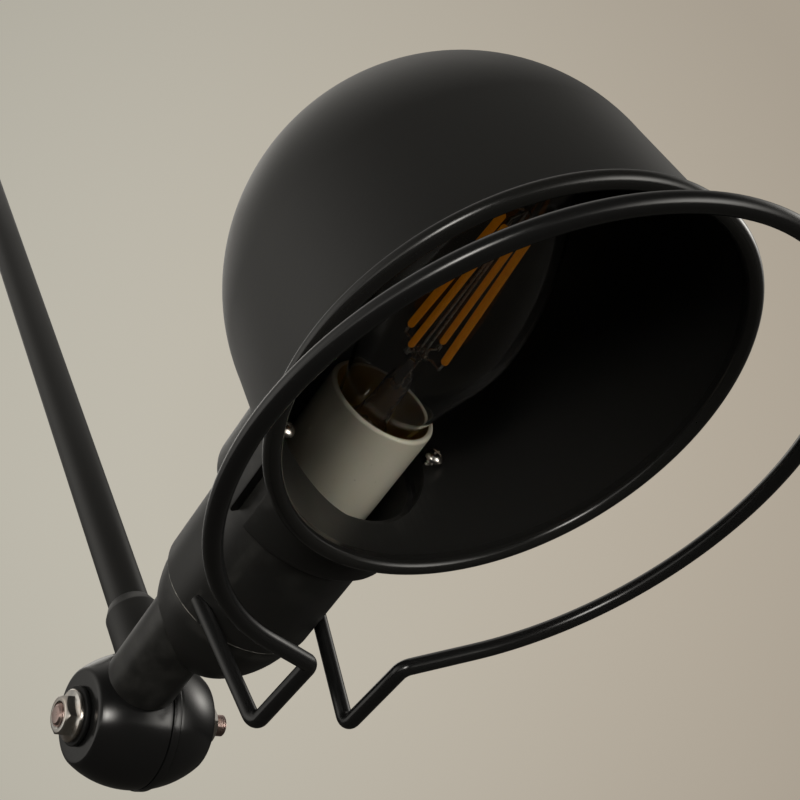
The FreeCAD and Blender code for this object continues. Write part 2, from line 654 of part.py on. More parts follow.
def joint(name, centre, rise_near, rise_far, near_stub, near_side):
    near = half_shell(name + "_near_shell", centre, rise_near, False, near_stub, near_side)
    far = half_shell(name + "_far_shell", centre, rise_far, True, "tube_r", "arm_side")
    return [near, far] + joint_inside(name, centre, rise_near, rise_far) \
        + joint_bolt(name, centre, rise_far)


# Arms

def collar(label, frame):
    """Collar over a tube's end; local X = 0 is the joint's centre."""
    body = new_body(label, frame)
    turn(body, "CollarTurned", [
        ("collar_low", "tube_r"), ("collar_low", "collar_r"),
        ("collar_high - collar_taper", "collar_r"),
        ("collar_high", "tube_r + collar_lip"), ("collar_high", "tube_r"),
    ])
    return body


def arm(name, centre, far_centre, rise, length, across):
    """Tube between two joints, a collar at each end and the wires inside."""
    frame = aim(centre, rise, across)
    tube = new_body(name + "_tube", frame)
    turn(tube, "TubeTurned", [
        ("stub_high", "tube_r - tube_wall"), ("stub_high", "tube_r"),
        ("%s - stub_high" % length, "tube_r"), ("%s - stub_high" % length, "tube_r - tube_wall"),
    ])
    wire = new_body(name + "_wire_seed", FreeCAD.Placement())
    rod(wire, "WirePad", "YZ_Plane", "0", "0", "wire_r",
        "stub_high - 4", "%s - stub_high + 4" % length)
    frames = []
    for place in (-1, 1):
        offset = FreeCAD.Vector(0, 0, place * size("wire_side"))
        frames.append(frame.multiply(FreeCAD.Placement(offset, FreeCAD.Rotation())))
    wires = group(name + "_wires", [wire], frames)
    ring = collar(name + "_collar_seed", FreeCAD.Placement())
    collars = group(name + "_collars", [ring], [frame, aim(far_centre, rise + 180, across)])
    return [tube, wires, collars]


def swivel_block():
    body = new_body("swivel_block", aim(PIVOT, 0))
    turn(body, "BlockTurned", [
        ("0", "-block_half"), ("block_r", "-block_half"),
        ("block_r", "block_half"), ("0", "block_half"),
    ], axis="V_Axis", role="XZ_Plane")
    rod(body, "Stem", "YZ_Plane", "0", "0", "tube_r", "0", "shoulder_reach - stub_high")
    rod(body, "StemDuct", "YZ_Plane", "0", "0", "duct_r",
        "block_r - 1.5", "shoulder_reach", cut=True)
    rod(body, "BlockBore", "XY_Plane", "0", "0", "pivot_r + run_gap",
        "-block_half - 1", "block_half + 1", cut=True)
    ring = collar("stem_collar", aim(SHOULDER, 180, size("arm_side")))
    return [body, ring]


# Head: what stays with the joint

HEAD_RISE = size("head_rise")
HEAD_FRAME = aim(HEAD, HEAD_RISE, size("head_side"))
ROLL = FreeCAD.Rotation(FreeCAD.Vector(1, 0, 0), size("head_roll"))
LAMP_FRAME = HEAD_FRAME.multiply(FreeCAD.Placement(FreeCAD.Vector(0, 0, 0), ROLL))


def head_sleeve():
    body = new_body("head_sleeve", aim(HEAD, HEAD_RISE, -size("sleeve_side")))
    turn(body, "SleeveTurned", [
        ("sleeve_low", "sleeve_r - sleeve_wall"), ("sleeve_low", "sleeve_r"),
        ("sleeve_high", "sleeve_r"), ("sleeve_high", "sleeve_r - sleeve_wall"),
    ])
    turn(body, "ShellSeat", [
        ("0", "sleeve_side - ball_flat"),
        (shell_radius("ball_flat"), "sleeve_side - ball_flat"),
        (shell_radius("seam_low"), "sleeve_side + seam_low", "ball_arc", -1),
        ("0", "sleeve_side + seam_low"),
    ], axis="V_Axis", cut=True)
    turn(body, "SeamRoom", [
        ("0", "sleeve_side + seam_low - seam_gap"),
        ("ball_r + seam_proud + seam_gap", "sleeve_side + seam_low - seam_gap"),
        ("ball_r + seam_proud + seam_gap", "sleeve_side + sleeve_r"),
        ("0", "sleeve_side + sleeve_r"),
    ], axis="V_Axis", cut=True)
    return [body]


def rear_cap():
    body = new_body("rear_cap", HEAD_FRAME)
    face = "neck_low - cap_gap"
    end = "neck_low + spigot_len"
    turn(body, "CapTurned", [
        ("cap_tail", "0"),
        ("cap_mid", "cap_mid_r", "cap_tail_arc", 1),
        (face, "cap_r", "cap_side_arc", 1),
        (face, "spigot_r"),
        (end, "spigot_r"),
        (end, "0"),
    ])
    turn(body, "CapHollow", [
        ("cap_tail + cap_wall", "0"),
        ("cap_mid + 0.5", "cap_mid_r - cap_wall", "cap_tail_arc - cap_wall", 1),
        (face + " - 1.5", "spigot_r - cap_wall", "cap_side_arc - cap_wall", 1),
        (end + " + 1", "spigot_r - cap_wall"),
        (end + " + 1", "0"),
    ], cut=True)
    rod(body, "SleeveHole", "YZ_Plane", "-sleeve_side - head_side", "0", "sleeve_r",
        "sleeve_low", "sleeve_high", cut=True)
    ring = new_body("swivel_retainer", HEAD_FRAME)
    low = "neck_low + neck_wall + cap_gap"
    turn(ring, "RetainerTurned", [
        (low, "spigot_r"), (low, "retainer_r"),
        (low + " + retainer_thick", "retainer_r"), (low + " + retainer_thick", "spigot_r"),
    ])
    return [body, ring]


# Head: the lamp, which turns about the housing's axis

def lamp_point(along, across, drop):
    """Point in the lamp's frame: along its axis, to world +X, and below the axis."""
    return FreeCAD.Vector(size(along), size(across), -size(drop))


def guard_drop_at(along):
    return "guard_drop + (%s - guard_reach) * tan(guard_tilt * 1 deg)" % along


def neck_housing():
    body = new_body("neck_housing", LAMP_FRAME)
    turn(body, "HousingTurned", [
        ("neck_low", "spigot_r + run_gap"),
        ("neck_low", "neck_r - neck_edge"),
        ("neck_low + neck_edge", "neck_r", "neck_edge", 1),
        ("neck_high", "neck_r"),
        ("neck_high", "neck_r - neck_wall"),
        ("neck_low + neck_wall", "neck_r - neck_wall"),
        ("neck_low + neck_wall", "spigot_r + run_gap"),
    ])
    for name, side in (("NearLegHole", -1), ("FarLegHole", 1)):
        end, heel = leg_line(side)
        hole = body.newObject("PartDesign::SubtractiveCylinder", name)
        bind(hole, "Radius", "guard_wire_r")
        hole.Height = 6
        turned = FreeCAD.Rotation(FreeCAD.Vector(0, 0, 1), heel - end)
        hole.AttachmentSupport = [(plane(body, "XY_Plane"), "")]
        hole.MapMode = "FlatFace"
        hole.AttachmentOffset = FreeCAD.Placement(end, turned)
        body.Tip = hole
        doc.recompute()
    return [body]


def leg_line(side):
    """End of a guard leg in the housing, and the bend below it."""
    end = lamp_point("guard_end_reach", "guard_end_side", "guard_end_drop")
    heel = lamp_point("guard_heel_reach", "guard_waist", guard_drop_at("guard_heel_reach"))
    end.y *= side
    heel.y *= side
    return end, heel


def bent(before, corner, after, radius):
    """Line up to a bend, the bend's arc, and the arc's far end."""
    back = (before - corner).normalize()
    ahead = (after - corner).normalize()
    half = back.getAngle(ahead) / 2
    first = corner + back * (radius / math.tan(half))
    last = corner + ahead * (radius / math.tan(half))
    inward = (back + ahead).normalize()
    centre = corner + inward * (radius / math.sin(half))
    middle = centre - inward * radius
    return first, middle, last


def guard_wire():
    """One bent wire: a ring under the shade whose two legs rise into the housing."""
    reach_at, drop_at = "guard_reach", "guard_drop"
    centre = lamp_point(reach_at, "0", drop_at)
    tilt = math.radians(size("guard_tilt"))
    forward = FreeCAD.Vector(math.cos(tilt), 0, -math.sin(tilt))
    radius = size("guard_r")
    waist = {}
    touch = {}
    for side in (-1, 1):
        corner = lamp_point(
            "guard_waist_reach", "guard_waist", guard_drop_at("guard_waist_reach"))
        corner.y *= side
        waist[side] = corner
        away = corner - centre
        swing = math.acos(radius / away.Length)
        bearing = math.atan2(away.y, away.dot(forward)) - side * swing
        touch[side] = centre + forward * (radius * math.cos(bearing)) \
            + FreeCAD.Vector(0, radius * math.sin(bearing), 0)
    edges = []
    last = None
    bend = size("guard_bend")
    for side in (-1, 1):
        end, heel = leg_line(side)
        low = bent(end, heel, waist[side], bend)
        high = bent(heel, waist[side], touch[side], bend)
        run = [
            Part.LineSegment(end, low[0]).toShape(), Part.Arc(*low).toShape(),
            Part.LineSegment(low[2], high[0]).toShape(), Part.Arc(*high).toShape(),
            Part.LineSegment(high[2], touch[side]).toShape(),
        ]
        edges.append(run)
    front = centre + forward * radius
    ring = Part.Arc(touch[-1], front, touch[1]).toShape()
    path = Part.Wire(edges[0] + [ring] + edges[1][::-1])
    start, heel = leg_line(-1)
    section = Part.Wire([Part.Circle(start, heel - start, size("guard_wire_r")).toShape()])
    node = doc.addObject("Part::Feature", "guard_wire")
    node.Label = "guard_wire"
    node.Shape = path.makePipeShell([section], True, False)
    node.Placement = LAMP_FRAME
    return [node]


def shade_collar():
    body = new_body("shade_collar", LAMP_FRAME)
    turn(body, "BandTurned", [
        ("band_low", "neck_r"),
        ("band_low", "band_r - band_edge"),
        ("band_low + band_edge", "band_r", "band_edge", 1),
        ("shade_reach - shade_r * 0.8", "band_r"),
        ("shade_reach - shade_r * 0.8", "neck_r"),
    ])
    seat = new_sketch(body, "ShadeSeatOutline", "XZ_Plane")
    draw_outline(seat, [
        ("shade_reach", "shade_lift - skirt_len"),
        ("shade_reach - skirt_r", "shade_lift - skirt_len"),
        ("shade_reach - shade_r", "shade_lift"),
        ("shade_reach", "shade_lift + shade_r", "shade_r", 1),
    ])
    groove = body.newObject("PartDesign::Groove", "ShadeSeat")
    groove.Profile = seat
    groove.ReferenceAxis = (seat, [upright_axis(seat, "shade_reach")])
    groove.Angle = 360
    finish_feature(body, groove, seat)
    for name, side in (("NearSlot", -1), ("FarSlot", 1)):
        slot = body.newObject("PartDesign::SubtractiveBox", name)
        bind(slot, "Length", "slot_len + 1")
        bind(slot, "Width", "band_r")
        bind(slot, "Height", "slot_wide")
        slot.AttachmentSupport = [(plane(body, "XY_Plane"), "")]
        slot.MapMode = "FlatFace"
        angle = -size("slot_angle") if side > 0 else 180 + size("slot_angle")
        lean = FreeCAD.Rotation(FreeCAD.Vector(1, 0, 0), angle)
        corner = FreeCAD.Vector(size("band_low") - 1, 0, 0)
        corner += lean.multVec(FreeCAD.Vector(0, size("neck_r") - 3, -size("slot_wide") / 2))
        slot.AttachmentOffset = FreeCAD.Placement(corner, lean)
        body.Tip = slot
        doc.recompute()
    screw_holes(body, "screw_seat - screw_len - 0.5", "screw_seat + 2", "screw_r")
    return [body]


def screw_spots():
    """Where the two shade screws stand, seen along the lamp's axis."""
    return [("%s * screw_side * cos(screw_angle * 1 deg)" % side,
             "-screw_side * sin(screw_angle * 1 deg)") for side in ("-1", "1")]


def screw_holes(body, low, high, radius):
    for name, (across, along) in zip(("NearScrewHole", "FarScrewHole"), screw_spots()):
        rod(body, name, "YZ_Plane", across, along, radius, low, high, cut=True)


def shade_screws():
    seed = pan_screw("shade_screw_seed", "screw_r", "screw_head_r", "screw_head_high", "screw_len")
    frames = []
    for across, along in screw_spots():
        spot = FreeCAD.Vector(size("screw_seat"), size(across), size(along))
        frames.append(LAMP_FRAME.multiply(FreeCAD.Placement(spot, FreeCAD.Rotation())))
    return [group("shade_screws", [seed], frames)]


def shade():
    """Dome and skirt, turned about the opening's axis; local X points out of the opening."""
    centre = FreeCAD.Vector(size("shade_reach"), 0, size("shade_lift"))
    down = FreeCAD.Rotation(FreeCAD.Vector(0, 1, 0), 90)
    body = new_body("shade", LAMP_FRAME.multiply(FreeCAD.Placement(centre, down)))
    turn(body, "ShadeTurned", [
        ("-shade_r", "0"),
        ("0", "shade_r", "shade_r", 1),
        ("skirt_len", "skirt_r"),
        ("skirt_len", "skirt_r - shade_wall"),
        ("0", "shade_r - shade_wall"),
        ("-shade_r + shade_wall", "0", "shade_r - shade_wall", -1),
    ])
    sketch = new_sketch(body, "RimOutline", "XY_Plane")
    draw_circle(sketch, "skirt_len", "bead_ring_r", "bead_r")
    rim = body.newObject("PartDesign::Revolution", "RolledRim")
    rim.Profile = sketch
    rim.ReferenceAxis = (sketch, ["H_Axis"])
    rim.Angle = 360
    finish_feature(body, rim, sketch)
    rod(body, "HousingHole", "XY_Plane", "shade_lift", "0", "neck_r",
        "-shade_r - 5", "-shade_r * 0.7", cut=True)
    for name, (across, along) in zip(("NearScrewHole", "FarScrewHole"), screw_spots()):
        rod(body, name, "XY_Plane", "shade_lift - (%s)" % along, across, "screw_r",
            "-shade_r - 5", "-shade_r * 0.7", cut=True)
    return [body]


# Lampholder and bulb

def holder_screw_spots():
    return [("-holder_screw_side", "0"), ("holder_screw_side", "0")]


def lampholder():
    body = new_body("lampholder", LAMP_FRAME)
    turn(body, "HolderTurned", [
        ("holder_low", "0"),
        ("holder_low", "holder_r"),
        ("holder_high - holder_edge", "holder_r"),
        ("holder_high", "holder_r - holder_edge", "holder_edge", 1),
        ("holder_high", "mouth_r"),
        ("mouth_low", "mouth_r"),
        ("mouth_low", "screw_shell_r"),
        ("screw_shell_low", "screw_shell_r"),
        ("screw_shell_low", "0"),
    ])
    for name, (across, along) in zip(("NearScrewHole", "FarScrewHole"), holder_screw_spots()):
        rod(body, name, "YZ_Plane", across, along, "holder_screw_r",
            "holder_low - 1", "screw_shell_low - 0.5", cut=True)
    shell = new_body("threaded_shell", LAMP_FRAME)
    turn(shell, "ThreadShellTurned", [
        ("screw_shell_low", "screw_shell_r - screw_shell_wall"),
        ("screw_shell_low", "screw_shell_r"), ("mouth_low", "screw_shell_r"),
        ("mouth_low", "screw_shell_r - screw_shell_wall"),
    ])
    contact = new_body("centre_contact", LAMP_FRAME)
    turn(contact, "ContactTurned", [
        ("screw_shell_low", "0"), ("screw_shell_low", "contact_r"),
        ("screw_shell_low + contact_high", "contact_r - 0.6"),
        ("screw_shell_low + contact_high", "0"),
    ])
    return [body, shell, contact]


def holder_bracket():
    body = new_body("holder_bracket", LAMP_FRAME)
    turn(body, "BracketTurned", [
        ("plate_low", "bracket_bore"), ("plate_low", "neck_r - neck_wall"),
        ("holder_low", "neck_r - neck_wall"), ("holder_low", "bracket_bore"),
    ])
    for name, (across, along) in zip(("NearScrewHole", "FarScrewHole"), holder_screw_spots()):
        rod(body, name, "YZ_Plane", across, along, "holder_screw_r",
            "plate_low - 1", "holder_low + 1", cut=True)
    seed = pan_screw("holder_screw_seed", "holder_screw_r", "holder_screw_head_r",
                     "holder_screw_head_high", "screw_shell_low - plate_low - 1.5")
    back = FreeCAD.Rotation(FreeCAD.Vector(0, 0, 1), 180)
    frames = []
    for across, along in holder_screw_spots():
        spot = FreeCAD.Vector(size("plate_low"), size(across), size(along))
        frames.append(LAMP_FRAME.multiply(FreeCAD.Placement(spot, back)))
    wire = new_body("head_wire_seed", FreeCAD.Placement())
    rod(wire, "WirePad", "YZ_Plane", "0", "0", "wire_r", "neck_low + spigot_len + 2", "holder_low")
    leads = []
    for place in (-1, 1):
        offset = FreeCAD.Vector(0, 0, place * size("wire_side"))
        leads.append(LAMP_FRAME.multiply(FreeCAD.Placement(offset, FreeCAD.Rotation())))
    return [body, group("holder_screws", [seed], frames), group("head_wires", [wire], leads)]


def bulb_cap():
    body = new_body("bulb_cap", LAMP_FRAME)
    turn(body, "CapTurned", [
        ("cap_screw_low", "contact_r"), ("cap_screw_low", "cap_screw_r - 1.5"),
        ("cap_screw_low + 1.5", "cap_screw_r"), ("glass_low - 1", "cap_screw_r"),
        ("glass_low", "glass_low_r"), ("glass_low", "glass_low_r - cap_screw_wall"),
        ("glass_low - 1", "cap_screw_r - cap_screw_wall"),
        ("cap_screw_low + 1.5", "cap_screw_r - cap_screw_wall"),
        ("cap_screw_low + 0.6", "contact_r"),
    ])
    tip = new_body("bulb_contact", LAMP_FRAME)
    turn(tip, "TipTurned", [
        ("screw_shell_low + contact_high", "0"),
        ("screw_shell_low + contact_high", "contact_r - 1"),
        ("cap_screw_low + 0.6", "contact_r"), ("cap_screw_low + 0.6", "0"),
    ])
    return [body, tip]


def bulb_glass():
    """Hollow candle-shaped glass."""
    body = new_body("bulb_glass", LAMP_FRAME)
    turn(body, "GlassTurned", [
        ("glass_low", "0"),
        ("glass_low", "glass_low_r"),
        ("glass_neck", "glass_neck_r", "glass_neck_arc", -1),
        ("glass_mid", "glass_r", "glass_belly_arc", 1),
        ("glass_top", "glass_top_r", "glass_side_arc", 1),
        ("glass_tip", "0", "glass_tip_arc", 1),
    ])
    turn(body, "GlassHollow", [
        ("glass_low - 1", "0"),
        ("glass_low - 1", "glass_low_r - glass_wall"),
        ("glass_low", "glass_low_r - glass_wall"),
        ("glass_neck", "glass_neck_r - glass_wall", "glass_neck_arc + glass_wall", -1),
        ("glass_mid", "glass_r - glass_wall", "glass_belly_arc - glass_wall", 1),
        ("glass_top - 0.4", "glass_top_r - glass_wall", "glass_side_arc - glass_wall", 1),
        ("glass_tip - glass_wall", "0", "glass_tip_arc - glass_wall", 1),
    ], cut=True)
    return [body]


def bulb_inside():
    """Glass stem, filaments and the wires that hold them."""
    stem = new_body("bulb_stem", LAMP_FRAME)
    turn(stem, "StemTurned", [
        ("glass_low", "0"), ("glass_low", "stem_r"), ("stem_high - 6", "stem_top_r"),
        ("stem_high", "stem_top_r"), ("stem_high", "0"),
    ])
    lean = math.atan2(size("filament_lean"), size("filament_len"))
    strand = new_body("filament_seed", FreeCAD.Placement())
    rod(strand, "FilamentPad", "YZ_Plane", "0", "0", "filament_r", "0", "filament_len")
    tie = new_body("support_seed", FreeCAD.Placement())
    rod(tie, "TiePad", "YZ_Plane", "0", "0", "support_r", "0", "filament_low - stem_high + 3")
    strands = []
    ties = []
    spread = math.atan2(size("filament_side - stem_top_r + 0.8"), size("filament_low - stem_high + 2"))
    for index in range(int(size("filament_count"))):
        angle = size("filament_turn") + 360.0 * index / size("filament_count")
        about = FreeCAD.Placement(
            FreeCAD.Vector(0, 0, 0), FreeCAD.Rotation(FreeCAD.Vector(1, 0, 0), angle))
        foot = FreeCAD.Vector(size("filament_low"), 0, size("filament_side"))
        tilt = FreeCAD.Rotation(FreeCAD.Vector(0, 1, 0), math.degrees(lean))
        strands.append(LAMP_FRAME.multiply(about).multiply(FreeCAD.Placement(foot, tilt)))
        root = FreeCAD.Vector(size("stem_high - 2"), 0, size("stem_top_r") - 0.2)
        fan = FreeCAD.Rotation(FreeCAD.Vector(0, 1, 0), -math.degrees(spread))
        ties.append(LAMP_FRAME.multiply(about).multiply(FreeCAD.Placement(root, fan)))
    return [stem, group("bulb_filaments", [strand], strands), group("bulb_supports", [tie], ties)]


# The whole light

SEEDS = {"nut": flange_nut(), "washer": washer_seed()}
FRONT_RISE = -size("front_fall")
REAR_RISE = size("rear_rise")
nodes += wall_plate() + swivel_bolt() + terminal_block()
nodes += swivel_block()
nodes += joint("shoulder", SHOULDER, REAR_RISE, 180, "tube_r", "-arm_side")
nodes += arm("rear_arm", SHOULDER, ELBOW, REAR_RISE, "rear_len", -size("arm_side"))
nodes += joint("elbow", ELBOW, REAR_RISE + 180, FRONT_RISE, "tube_r", "-arm_side")
nodes += arm("front_arm", ELBOW, HEAD, FRONT_RISE, "front_len", size("arm_side"))
nodes += joint("head", HEAD, HEAD_RISE, FRONT_RISE + 180, "sleeve_r - sleeve_wall", "-sleeve_side")
nodes += head_sleeve() + rear_cap()
nodes += neck_housing() + guard_wire() + shade_collar() + shade() + shade_screws()
nodes += lampholder() + holder_bracket() + bulb_cap() + bulb_glass() + bulb_inside()

doc.recompute()
for item in doc.Objects:
    if "Invalid" in item.State or "Error" in item.State:
        raise RuntimeError("%s did not build: %s" % (item.Label, item.State))
os.makedirs("parts", exist_ok=True)
for node in nodes:
    if node.Shape.isNull() or not node.Shape.isValid():
        raise RuntimeError("%s has no valid shape" % node.Label)
    node.Shape.exportStep("parts/%s.step" % node.Label)
print("%d nodes written" % len(nodes))
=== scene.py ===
"""Looks of the wall light: satin black paint, bright zinc fasteners, porcelain and a clear bulb.

Sizes are in millimetres and become metres through MM. Most pieces are turned: a ring is
extruded and scaled from corner to corner of an outline of (distance along X, radius).
"""
import bpy
import json
from math import acos, atan2, cos, pi, radians, sin, sqrt, tan
from mathutils import Matrix, Vector


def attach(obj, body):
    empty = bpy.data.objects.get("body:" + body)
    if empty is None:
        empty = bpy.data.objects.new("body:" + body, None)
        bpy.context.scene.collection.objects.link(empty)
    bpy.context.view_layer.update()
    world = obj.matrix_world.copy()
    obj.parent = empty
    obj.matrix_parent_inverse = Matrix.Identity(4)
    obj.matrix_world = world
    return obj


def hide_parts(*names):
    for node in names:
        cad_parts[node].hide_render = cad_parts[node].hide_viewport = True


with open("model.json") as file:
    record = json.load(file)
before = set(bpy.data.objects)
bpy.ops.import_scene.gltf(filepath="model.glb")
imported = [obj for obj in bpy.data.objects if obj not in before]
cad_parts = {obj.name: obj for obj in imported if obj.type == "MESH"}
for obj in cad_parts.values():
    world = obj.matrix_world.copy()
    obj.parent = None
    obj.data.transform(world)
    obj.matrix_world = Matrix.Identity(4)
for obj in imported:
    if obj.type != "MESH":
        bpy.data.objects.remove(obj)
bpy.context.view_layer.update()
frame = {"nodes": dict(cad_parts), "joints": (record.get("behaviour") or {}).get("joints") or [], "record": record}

MM = 0.001
AXIS = 0.002  # radius of a point on the axis
SLIP = 0.05  # room in a bore
FINE = 96  # facets of a large round piece
ROUND = 48  # facets of a small one

# Places and directions, from the frame's joints

joints = {joint["name"]: joint for joint in frame["joints"]}
PIVOT, SHOULDER, ELBOW, HEAD = (
    Vector(joints[name]["pos_m"]) for name in ("base_swivel", "shoulder", "elbow", "head_tilt"))
HINGE = Vector((1, 0, 0))
UPRIGHT = Vector((0, 0, 1))
ORIGIN = Vector((0, 0, 0))
ALONG = HINGE  # the axis of a turned piece while it is made
SIDEWAYS = Vector((0, 1, 0))
OUTWARD = Vector((0, -1, 0))
NECK = Vector(joints["head_turn"]["axis"]).normalized()
REAR_ARM = (ELBOW - SHOULDER).normalized()
FRONT_ARM = (HEAD - ELBOW).normalized()
HEAD_ROLL = radians(3.3)


def spot(centre, along, across=HINGE, roll=0.0):
    """Matrix at centre with X along a piece, Y across it and Z on its upper side."""
    upper = along.cross(across).normalized()
    side = upper.cross(along)
    turned_side = side * cos(roll) + upper * sin(roll)
    turned_upper = upper * cos(roll) - side * sin(roll)
    place = Matrix((along, turned_side, turned_upper)).transposed().to_4x4()
    place.translation = centre
    return place


HEAD_SIDE = 1.1
HEAD_AXIS = HEAD + HINGE * (HEAD_SIDE * MM)
LAMP = spot(HEAD_AXIS, NECK, HINGE, HEAD_ROLL)
HEAD_JOINT = spot(HEAD_AXIS, NECK)

# Sizes of the joints and arms, in millimetres

TUBE_R = 6.2
TUBE_WALL = 1.2
ARM_SIDE = 9.9
STUB_ROOT = 10.5
STUB_END = 24.0
STUB_WALL = 2.8
COLLAR_R = 8.3
COLLAR_LOW = 19.6
COLLAR_HIGH = 45.5
COLLAR_TAPER = 4.0
COLLAR_LIP = 0.5
BALL_R = 18.5
BALL_ARC = 27.9
BALL_FLAT = 17.4
BALL_WALL = 2.0
BRIM_ROUND = 2.0
BRIM_BACK = 0.74
BRIM_IN = 0.95
RING_LOW = 1.1
RING_HIGH = 3.3
RING_PROUD = 0.3
RING_BORE = 12.5
RING_GAP = 0.25
BOLT_R = 3.0
BOLT_NEAR = 23.9
BOLT_FAR = 27.1
BOLT_THREAD = 5.0
BOLT_PITCH = 0.6
BOLT_DEEP = 0.28
WASHER_R = 7.9
WASHER_THICK = 1.2
WASHER_GAP = 0.2
WASHER_BORE = BOLT_R + 0.1
NUT_FLAT = 10.0
NUT_HIGH = 4.4
SHOULDER_NUT_TURN = 0.4
ELBOW_NUT_TURN = 0.9
HEAD_NUT_TURN = radians(24)
FLANGE_R = 6.9
FLANGE_HIGH = 1.0
SLEEVE_SIDE = 7.0
SLEEVE_R = 9.8
SLEEVE_WALL = 2.0
SLEEVE_LOW = 17.4
SLEEVE_HIGH = 48.0

# Sizes of the wall plate and the swivel, in millimetres

PLATE_R = 46.0
PLATE_EDGE = 4.0
PLATE_THICK = 6.0
PLATE_BEVEL = 3.0
BOSS_R = 21.0
BOSS_LONG = 19.0
BOSS_ROOT = 4.0
CAVITY_R = 17.0
CAVITY_DEEP = 15.0
PLATE_HOLE_R = 2.3
PLATE_HOLE_OUT = 37.0
PIVOT_OUT = 33.0
EAR_R = 9.0
EAR_LOW = 9.3
EAR_HIGH = 13.3
BLOCK_R = 9.5
BLOCK_HALF = 9.0
PIVOT_HEAD_R = 5.0
PIVOT_HEAD_HIGH = 3.6
PIVOT_THREAD = 5.4
SOCKET_R = 2.3
SOCKET_DEEP = 2.2
STEM_LONG = 38.0
STEM_SUNK = 1.5
DUCT_R = 3.4

# Sizes of the lamp head, along the housing's axis from the head joint, in millimetres

CAP_TAIL = 29.9
CAP_MID = 36.5
CAP_MID_R = 13.0
CAP_TAIL_ARC = 16.0
CAP_SIDE_ARC = 37.0
CAP_R = 19.9
CAP_END = 56.1
CAP_WALL = 1.5
CAP_WEB = 0.5
SPIGOT_R = 17.5
SPIGOT_END = 61.4
NECK_R = 20.7
NECK_WALL = 1.5
NECK_BORE = SPIGOT_R + 0.1
NECK_LOW = 56.4
NECK_HIGH = 104.7
BAND_R = 24.3
BAND_BORE = NECK_R + 0.04
BAND_LOW = 88.0
BAND_ROUND = 2.0
SLOT_WIDE = 5.2
SLOT_ANGLE = radians(19)
SLOT_END = 106.0
SHADE_REACH = 156.4
SHADE_LIFT = 1.95
SHADE_R = 51.3
SHADE_WALL = 1.2
SHADE_LAP = 0.1
SKIRT_LONG = 33.1
SKIRT_R = 52.7
ROLL_START = radians(198.4)
ROLL_END = radians(-116.6)
ROLL_STEPS = 28
BEAD_R = 1.9
BEAD_RING_R = 53.2
SCREW_SIDE = 22.5
SCREW_ANGLE = radians(7.5)
SCREW_R = 1.2
SCREW_HEAD_R = 2.6
SCREW_HEAD_HIGH = 1.9
SCREW_LONG = 9.0
SCREW_SEAT = 113.0
SCREW_PITCH = 0.8
SCREW_TURNS = 11
GUARD_R = 66.9
GUARD_REACH = 151.9
GUARD_DROP = 47.6
GUARD_TILT = radians(2.75)
GUARD_WIRE_R = 1.95
GUARD_WAIST = 13.2
GUARD_WAIST_REACH = 84.0
GUARD_HEEL_REACH = 60.0
GUARD_BEND = 3.0
GUARD_END = Vector((61.2, 17.75, -8.5))
LEG_ROOM = 0.12
LEG_HOLE_LONG = 6.0
HOLDER_R = 13.75
HOLDER_LOW = 90.0
HOLDER_RIM = 124.7
HOLDER_ROUND = 0.8
MOUTH_R = 12.3
MOUTH_LOW = 112.5
THREAD_R = 7.9
THREAD_LOW = 95.5
THREAD_DEEP = 0.5
THREAD_PITCH = 2.8
THREAD_WALL = 0.5
BULB_CAP_LOW = 97.5
BULB_CAP_R = 7.1
BULB_CAP_DEEP = 0.55
GLASS_LOW = 113.5
GLASS_LOW_R = 8.6
GLASS_NECK = 138.0
GLASS_NECK_R = 14.9
GLASS_NECK_ARC = 180.0
GLASS_MID = 152.0
GLASS_R = 17.4
GLASS_BELLY_ARC = 46.0
GLASS_TOP = 189.0
GLASS_TOP_R = 6.4
GLASS_SIDE_ARC = 72.7
GLASS_TIP = 197.5
GLASS_TIP_ARC = 9.0
GLASS_WALL = 0.8
STRIP_LOW = 142.1
STRIP_LONG = 34.9
STRIP_SIDE = 6.2
STRIP_LEAN = 2.0
STRIP_R = 0.95
STRIP_FLAT = 0.8
STRIP_COUNT = 4
STRIP_TURN = radians(20)
LEAD_R = 0.28
PROP_R = 0.3

# Places that the finishes and the light use

HOLDER_SPOT = LAMP @ Vector((HOLDER_RIM * MM, 0, 0))
DOME_CENTRE = Vector((SHADE_REACH, 0, SHADE_LIFT)) * MM
DOME_MIDDLE = LAMP @ DOME_CENTRE
SHADE_PLACE = spot(DOME_CENTRE, -UPRIGHT, SIDEWAYS)  # axis out of the opening
DOME_DOWN = (LAMP.to_3x3() @ -UPRIGHT).normalized()
LINE_WIDE = 0.6


# Modelling helpers

def only(thing):
    bpy.ops.object.select_all(action="DESELECT")
    thing.select_set(True)
    bpy.context.view_layer.objects.active = thing


def settle(thing):
    """Put a piece's place, turn and scale into its mesh."""
    only(thing)
    bpy.ops.object.transform_apply(location=True, rotation=True, scale=True)
    return thing


def made_by(operator, name, **settings):
    """New object from one of Blender's operators."""
    bpy.ops.object.select_all(action="DESELECT")
    operator(**settings)
    thing = bpy.context.object
    thing.name = name
    return thing


def edit_all():
    """Edit mode, with the whole mesh selected."""
    bpy.ops.object.mode_set(mode="EDIT")
    bpy.ops.mesh.select_all(action="SELECT")


def turn_faces_out():
    """Normals outwards, and back out of edit mode."""
    bpy.ops.mesh.normals_make_consistent(inside=False)
    bpy.ops.object.mode_set(mode="OBJECT")


def move_to(thing, place):
    thing.matrix_world = place
    return settle(thing)


def apply_modifier(thing, kind, **settings):
    only(thing)
    modifier = thing.modifiers.new(kind.title(), kind)
    for name, value in settings.items():
        setattr(modifier, name, value)
    bpy.ops.object.modifier_apply(modifier=modifier.name)


